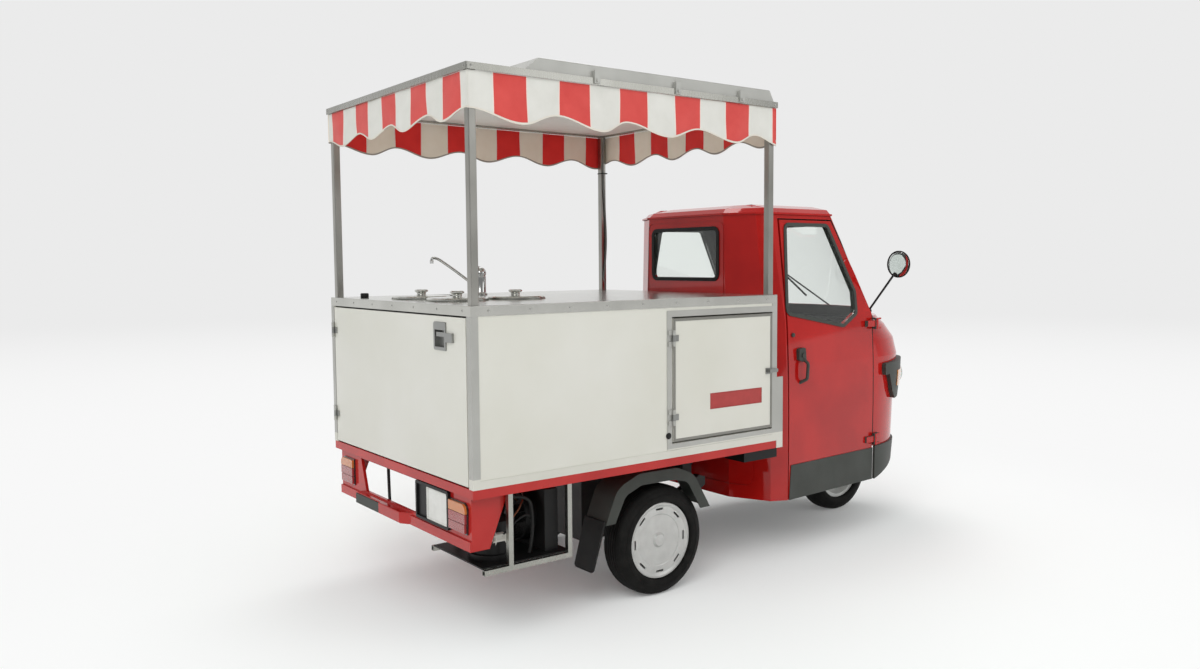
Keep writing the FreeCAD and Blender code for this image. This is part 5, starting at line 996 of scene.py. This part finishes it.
RIVET = plain_metal("rivet_aluminium", "#B9B9B4", 0.3)
RIVET_RADIUS, RIVET_HEIGHT = 0.0042, 0.0016
RIM_INSET = 0.018
LEFT_SIDE = (1, 0, 0)
counter_low, counter_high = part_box("counter_top")
edge_level = (counter_low.z + counter_high.z) / 2
rim_level = (rim_low.z + rim_high.z) / 2
side_spots = [counter_low.y + 0.060 + k * 0.162 for k in range(9)]
end_spots = [counter_low.x + 0.055 + k * 0.177 for k in range(7)]
ROWS = (
    ("counter_rivets_right", RIGHT_SIDE, [Vector((counter_low.x, y, edge_level)) for y in side_spots]),
    ("counter_rivets_left", LEFT_SIDE, [Vector((counter_high.x, y, edge_level)) for y in side_spots]),
    ("counter_rivets_rear", BEHIND, [Vector((x, counter_high.y, edge_level)) for x in end_spots]),
    ("canopy_rivets_rear", BEHIND,
     [Vector((x, rim_high.y, rim_level)) for x in (rim_low.x + RIM_INSET, rim_high.x - RIM_INSET)]),
    ("canopy_rivets_right", RIGHT_SIDE,
     [Vector((rim_low.x, y, rim_level)) for y in (rim_low.y + RIM_INSET, rim_high.y - RIM_INSET)]))
for name, axis, heads in ROWS:
    row_of(name, heads, axis, RIVET_RADIUS, RIVET_HEIGHT, RIVET)
BLACK = FINISHES["black_plastic"]
PLUG_RADIUS, PLUG_HEIGHT = 0.0125, 0.006
plug_place = Vector((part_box("box_panels")[0].x - 0.0005, 0.504, 0.652))
row_of("drain_plug", [plug_place], RIGHT_SIDE, PLUG_RADIUS, PLUG_HEIGHT, BLACK, 24)
print("rivets:", sum(len(heads) for _, _, heads in ROWS), "and a drain plug")

# %% [markdown]
# ## The cap on the counter
# A short black cap closes the hole of the vent near the rear edge. It is a lathe form with a softened
# rim, so it is turned from its half section, as the rivets are.

# %% Counter vent cap
CAP_OUTLINE = ((0.0, 0.0), (0.0, 0.0155), (0.003, 0.0165), (0.016, 0.0165), (0.019, 0.0145), (0.0195, 0.0))
cap = turned("counter_cap", CAP_OUTLINE, (0.405, counter_high.y - 0.070, counter_high.z), UPRIGHT, 28, 40)
finish_piece(cap, "truck", BLACK)
print("cap on the counter")

# %% [markdown]
# ## The cooling unit's wires and pipes
# Behind the apron's right wing the condenser fan has a guard of wire rings, and the compressor has
# copper pipes, a terminal box and a black hose. Rings could be tori, but curves with a round bevel
# make rings, spokes and bent pipes alike, and their control points are easy to move.


# %% Bent wires
def wire(name, points, radius, closed=False, order=3):
    """A round wire or pipe along control points, as a mesh."""
    line = bpy.data.curves.new(name, "CURVE")
    line.dimensions = "3D"
    line.resolution_u = 5
    line.bevel_depth = radius
    line.bevel_resolution = 2
    line.use_fill_caps = True
    run = line.splines.new("NURBS")
    run.points.add(len(points) - 1)
    for point, place in zip(run.points, points):
        point.co = (*place, 1.0)
    run.order_u = order
    run.use_cyclic_u = closed
    run.use_endpoint_u = not closed
    piece = bpy.data.objects.new(name, line)
    bpy.context.scene.collection.objects.link(piece)
    only(piece)
    bpy.ops.object.convert(target="MESH")
    piece = named(name)
    bpy.ops.object.shade_smooth()
    return piece


# %% Fan guard
FAN = Vector((-0.377, 1.0685, 0.403))
RING_COUNT, FIRST_RING, RING_PITCH, SPOKE_COUNT = 8, 0.022, 0.0098, 5
rings = []
for k in range(RING_COUNT):
    radius = FIRST_RING + RING_PITCH * k
    turns = [FAN + Vector((radius * math.cos(a), 0, radius * math.sin(a)))
             for a in (2 * math.pi * n / 16 for n in range(16))]
    rings.append(wire(f"guard_ring_{k}", turns, 0.0011, True))
for k in range(SPOKE_COUNT):
    angle = 2 * math.pi * k / SPOKE_COUNT + 0.3
    way = Vector((math.cos(angle), 0, math.sin(angle)))
    spoke = [FAN + Vector((0, 0.0012, 0)) + way * d for d in (0.018, 0.05, 0.093)]
    rings.append(wire(f"guard_spoke_{k}", spoke, 0.0013))
guard = joined("fan_guard", rings)
finish_piece(guard, "truck", BLACK)
print("fan guard points:", len(guard.data.vertices))

# %% Compressor's pipes, hose and terminal box
copper = plain_metal("copper_pipe", "#8A5A44", 0.35)
POT = Vector((-0.437, 1.192, 0.293))
pipes = [
    wire("suction_pipe", [POT + Vector(p) for p in (
        (0.060, 0.020, 0.120), (0.085, 0.030, 0.150), (0.120, 0.000, 0.190), (0.120, -0.080, 0.195),
        (0.090, -0.130, 0.180), (0.080, -0.160, 0.150))], 0.004),
    wire("delivery_pipe", [POT + Vector(p) for p in (
        (-0.055, -0.035, 0.120), (-0.075, -0.060, 0.150), (-0.060, -0.100, 0.200), (0.000, -0.130, 0.200),
        (0.060, -0.150, 0.190), (0.110, -0.165, 0.160))], 0.0033)]
finish_piece(joined("copper_pipes", pipes), "truck", copper)
hoses = [
    wire("drain_hose", [POT + Vector(p) for p in (
        (-0.020, 0.066, 0.130), (-0.028, 0.082, 0.170), (-0.070, 0.070, 0.215), (-0.105, 0.000, 0.225),
        (-0.100, -0.090, 0.210), (-0.080, -0.120, 0.160), (-0.085, -0.118, 0.060), (-0.080, -0.105, 0.006))],
         0.006),
    wire("unit_lead", [POT + Vector(p) for p in (
        (-0.070, 0.014, 0.075), (-0.098, 0.012, 0.090), (-0.108, -0.040, 0.140), (-0.092, -0.100, 0.150),
        (-0.070, -0.122, 0.120))], 0.0035)]
finish_piece(joined("unit_hoses", hoses), "truck", FINISHES["black_rubber"])
ivory = grained_plastic("ivory_connector", "#C9C7BE", "#D3D1C9", 0.45)
terminal = plate("terminal_box", POT + Vector((-0.0920, -0.006, 0.070)), POT + Vector((-0.066, 0.040, 0.096)),
                 RIGHT_SIDE, 0.003, 0.004, 0.001)
finish_piece(terminal, "truck", ivory)
print("cooling unit dressed")

# %% [markdown]
# ## The stay behind the apron
# A bent steel tube under the deck shows through the apron's opening. It lies in one plane across the
# vehicle, with both ends at the deck, so one list of points at one depth draws it.

# %% Stay behind the apron
STAY_DEPTH = 1.15
STAY_LINE = ((0.490, 0.545), (0.486, 0.40), (0.480, 0.285), (0.468, 0.262), (0.40, 0.262), (0.30, 0.275),
             (0.18, 0.303), (0.10, 0.33), (0.075, 0.36), (0.072, 0.44), (0.070, 0.545))
stay = wire("left_stay", [(x, STAY_DEPTH, z) for x, z in STAY_LINE], 0.007)
finish_piece(stay, "truck", FINISHES["dark_steel"])
print("stay behind the apron")

# %% [markdown]
# ## Edging of the side hatch
# The hatch leaf has a thin aluminium edging on its four sides, pressed flat on the laminate. A frame
# could be cut from one sheet; four strips with a raised middle are closer to how it is fitted.

# %% Hatch edging
LEAF_LOW, LEAF_HIGH, EDGING = Vector((0, -0.052, 0.626)), Vector((0, 0.481, 1.093)), 0.011
SLIP = 0.0003  # each strip is this much short of its place on every side
edges = (("low", LEAF_LOW.y, LEAF_HIGH.y, LEAF_LOW.z, LEAF_LOW.z + EDGING),
         ("top", LEAF_LOW.y, LEAF_HIGH.y, LEAF_HIGH.z - EDGING, LEAF_HIGH.z),
         ("front", LEAF_LOW.y, LEAF_LOW.y + EDGING, LEAF_LOW.z + EDGING, LEAF_HIGH.z - EDGING),
         ("back", LEAF_HIGH.y - EDGING, LEAF_HIGH.y, LEAF_LOW.z + EDGING, LEAF_HIGH.z - EDGING))
strips = [plate("edging_" + name, (hatch_face - 0.0012, y_low + SLIP, z_low + SLIP),
                (hatch_face + 0.0001, y_high - SLIP, z_high - SLIP), RIGHT_SIDE, 0.0006, 0.0016, -0.0005)
          for name, y_low, y_high, z_low, z_high in edges]
edging = brushed_metal("edging_aluminium", "#96958F", "#8A8983", 0.36, (1, 0.02, 0.02), 0.85)
finish_piece(joined("hatch_edging", strips), "box_hatch", edging)
print("hatch edging: four strips")

# %% [markdown]
# ## The tap
# A turned body with a domed cap and a lever, and a slim spout that rises straight over the basin
# and ends in a short hook. The body is a lathe form and the spout is one swept line.

# %% Tap
TAP_PLACE = Vector((0.350, 0.765, counter_height))
SPOUT_WAY = Vector((0.339, 0.941, 0.0)).normalized()
TAP_BODY = ((0.0005, 0.0), (0.0005, 0.0305), (0.006, 0.0305), (0.009, 0.0265), (0.013, 0.0245),
            (0.080, 0.0245), (0.082, 0.0232), (0.085, 0.0232), (0.087, 0.0256), (0.096, 0.0258),
            (0.106, 0.0232), (0.114, 0.0175), (0.119, 0.009), (0.1205, 0.0))
SPOUT = ((0.012, 0.030), (0.066, 0.073), (0.112, 0.108), (0.158, 0.1415), (0.182, 0.157), (0.198, 0.161),
         (0.2065, 0.158), (0.2075, 0.146), (0.2075, 0.139))
LEVER = ((-0.008, 0.112), (0.014, 0.121), (0.034, 0.128), (0.050, 0.138))
OUTLET = ((0.0, 0.0), (0.0, 0.0078), (0.012, 0.0082), (0.014, 0.007), (0.014, 0.0))
SPOUT_END = TAP_PLACE + SPOUT_WAY * 0.2075 + Vector((0, 0, 0.1365))


def over_basin(steps):
    """Points above the tap's foot, each (distance along the spout's way, height)."""
    return [TAP_PLACE + SPOUT_WAY * run + Vector((0, 0, rise)) for run, rise in steps]


tap_parts = [turned("tap_body_turned", TAP_BODY, TAP_PLACE, UPRIGHT, 40, 30),
             wire("tap_spout", over_basin(SPOUT), 0.006),
             turned("tap_outlet", OUTLET, SPOUT_END, UPRIGHT, 24, 30),
             wire("tap_lever", over_basin(LEVER), 0.0055)]
chrome = plain_metal("tap_chrome_plate", "#C9CAC8", 0.08)
finish_piece(joined("tap_piece", tap_parts), "truck", chrome, ("tap",))
print("tap: body, cap, spout, outlet and lever")

# %% [markdown]
# ## The driver's seat
# A bench cushion and a thin back pad in dark vinyl. Subdivision alone would round a block evenly,
# but stuffing swells most in the middle. So each is a slightly smaller block, remeshed and blown up
# a little by a cloth simulation, held flat where it rests. Piping runs round the top edge.

# %% Pads by simulation
SWELL = 0.010
VOXEL = 0.008
FRAMES = 20
BLOCK_INSET, DEPTH_INSET, REST_INSET = 0.006, 0.0035, 0.0006
HELD_DEPTH = 0.004


def stuffed(name, low, high, rest_axis, rest_side):
    """A crowned pad between two corners, flat on its resting side."""
    low, high = Vector(low), Vector(high)
    inset = Vector((BLOCK_INSET, BLOCK_INSET, BLOCK_INSET))
    inset[rest_axis] = DEPTH_INSET
    small_low, small_high = low + inset, high - inset
    if rest_side < 0:
        small_low[rest_axis] = low[rest_axis] + REST_INSET
    else:
        small_high[rest_axis] = high[rest_axis] - REST_INSET
    deselect()
    bpy.ops.mesh.primitive_cube_add(size=1, location=(0, 0, 0))
    pad = named(name)
    for point in pad.data.vertices:
        point.co = [(a + b) / 2 + c * (b - a) for a, b, c in zip(small_low, small_high, point.co)]
    only(pad)
    bpy.ops.object.mode_set(mode="EDIT")
    bpy.ops.mesh.select_all(action="SELECT")
    bpy.ops.mesh.bevel(offset=0.014, segments=4, affect="EDGES")
    bpy.ops.object.mode_set(mode="OBJECT")
    pad.data.remesh_voxel_size = VOXEL
    bpy.ops.object.voxel_remesh()
    flat_level = small_low[rest_axis] if rest_side < 0 else small_high[rest_axis]
    held = [p.index for p in pad.data.vertices if abs(p.co[rest_axis] - flat_level) < HELD_DEPTH]
    swell(pad, held)
    for point in pad.data.vertices:
        for axis in range(3):
            point.co[axis] = min(max(point.co[axis], low[axis] + 0.0005), high[axis] + 0.004)
        if rest_side > 0:
            point.co[rest_axis] = min(point.co[rest_axis], high[rest_axis] - 0.0005)
    smoother = pad.modifiers.new("smoother", "SUBSURF")
    smoother.levels = smoother.render_levels = 1
    bpy.ops.object.modifier_apply(modifier=smoother.name)
    bpy.ops.object.shade_smooth()
    return pad


def swell(pad, held):
    """Cloth pressure from inside for 20 frames; no point moves more than SWELL."""
    group = pad.vertex_groups.new(name="held")
    group.add(held, 1.0, "REPLACE")
    before = [point.co.copy() for point in pad.data.vertices]
    cloth = pad.modifiers.new("cloth", "CLOTH")
    cloth.settings.use_pressure = True
    cloth.settings.uniform_pressure_force = 4.0
    cloth.settings.quality = 5
    cloth.settings.vertex_group_mass = "held"
    cloth.settings.effector_weights.gravity = 0.0
    scene = bpy.context.scene
    for step in range(1, FRAMES + 1):
        scene.frame_set(step)
    seen_shape = pad.evaluated_get(bpy.context.evaluated_depsgraph_get())
    after = [point.co.copy() for point in seen_shape.data.vertices]
    pad.modifiers.remove(cloth)
    scene.frame_set(1)
    for point, old, new in zip(pad.data.vertices, before, after):
        step = new - old
        point.co = old + (step if step.length < SWELL else step.normalized() * SWELL)


# %% Cushion, back and piping
def ring(low, high, level_axis, level, inset, corner):
    """Control points of a rounded rectangle at a level, seen along one axis."""
    first, second = [axis for axis in range(3) if axis != level_axis]
    corners = []
    for sign_a, sign_b in ((-1, -1), (1, -1), (1, 1), (-1, 1)):
        a = high[first] - inset if sign_a > 0 else low[first] + inset
        b = high[second] - inset if sign_b > 0 else low[second] + inset
        steps = ((a - sign_a * corner, b), (a, b), (a, b - sign_b * corner))
        corners += steps if sign_a * sign_b > 0 else steps[::-1]
    points = []
    for a, b in corners:
        place = [0.0, 0.0, 0.0]
        place[first], place[second], place[level_axis] = a, b, level
        points.append(place)
    return points


vinyl = FINISHES["seat_vinyl"]
CUSHION = ((-0.300, -0.519, 0.5003), (0.300, -0.174, 0.595))
BACK_PAD = ((-0.250, -0.171, 0.520), (0.250, -0.1193, 0.930))
PIPING_INSET, PIPING_CORNER, PIPING_RADIUS = 0.004, 0.035, 0.003
cushion = stuffed("seat_cushion", *CUSHION, 2, -1)
back_pad = stuffed("seat_back_pad", *BACK_PAD, 1, 1)
piping = [wire(name, ring(*pad, axis, level, PIPING_INSET, PIPING_CORNER), PIPING_RADIUS, closed=True)
          for name, pad, axis, level in (("cushion_piping", CUSHION, 2, 0.586),
                                         ("back_piping", BACK_PAD, 1, -0.164))]
for pad in (cushion, back_pad):
    finish_piece(pad, "truck", vinyl, ("seat",))
finish_piece(joined("seat_piping", piping), "truck", vinyl, ("seat",))
print("seat: cushion and back", [len(pad.data.vertices) for pad in (cushion, back_pad)])
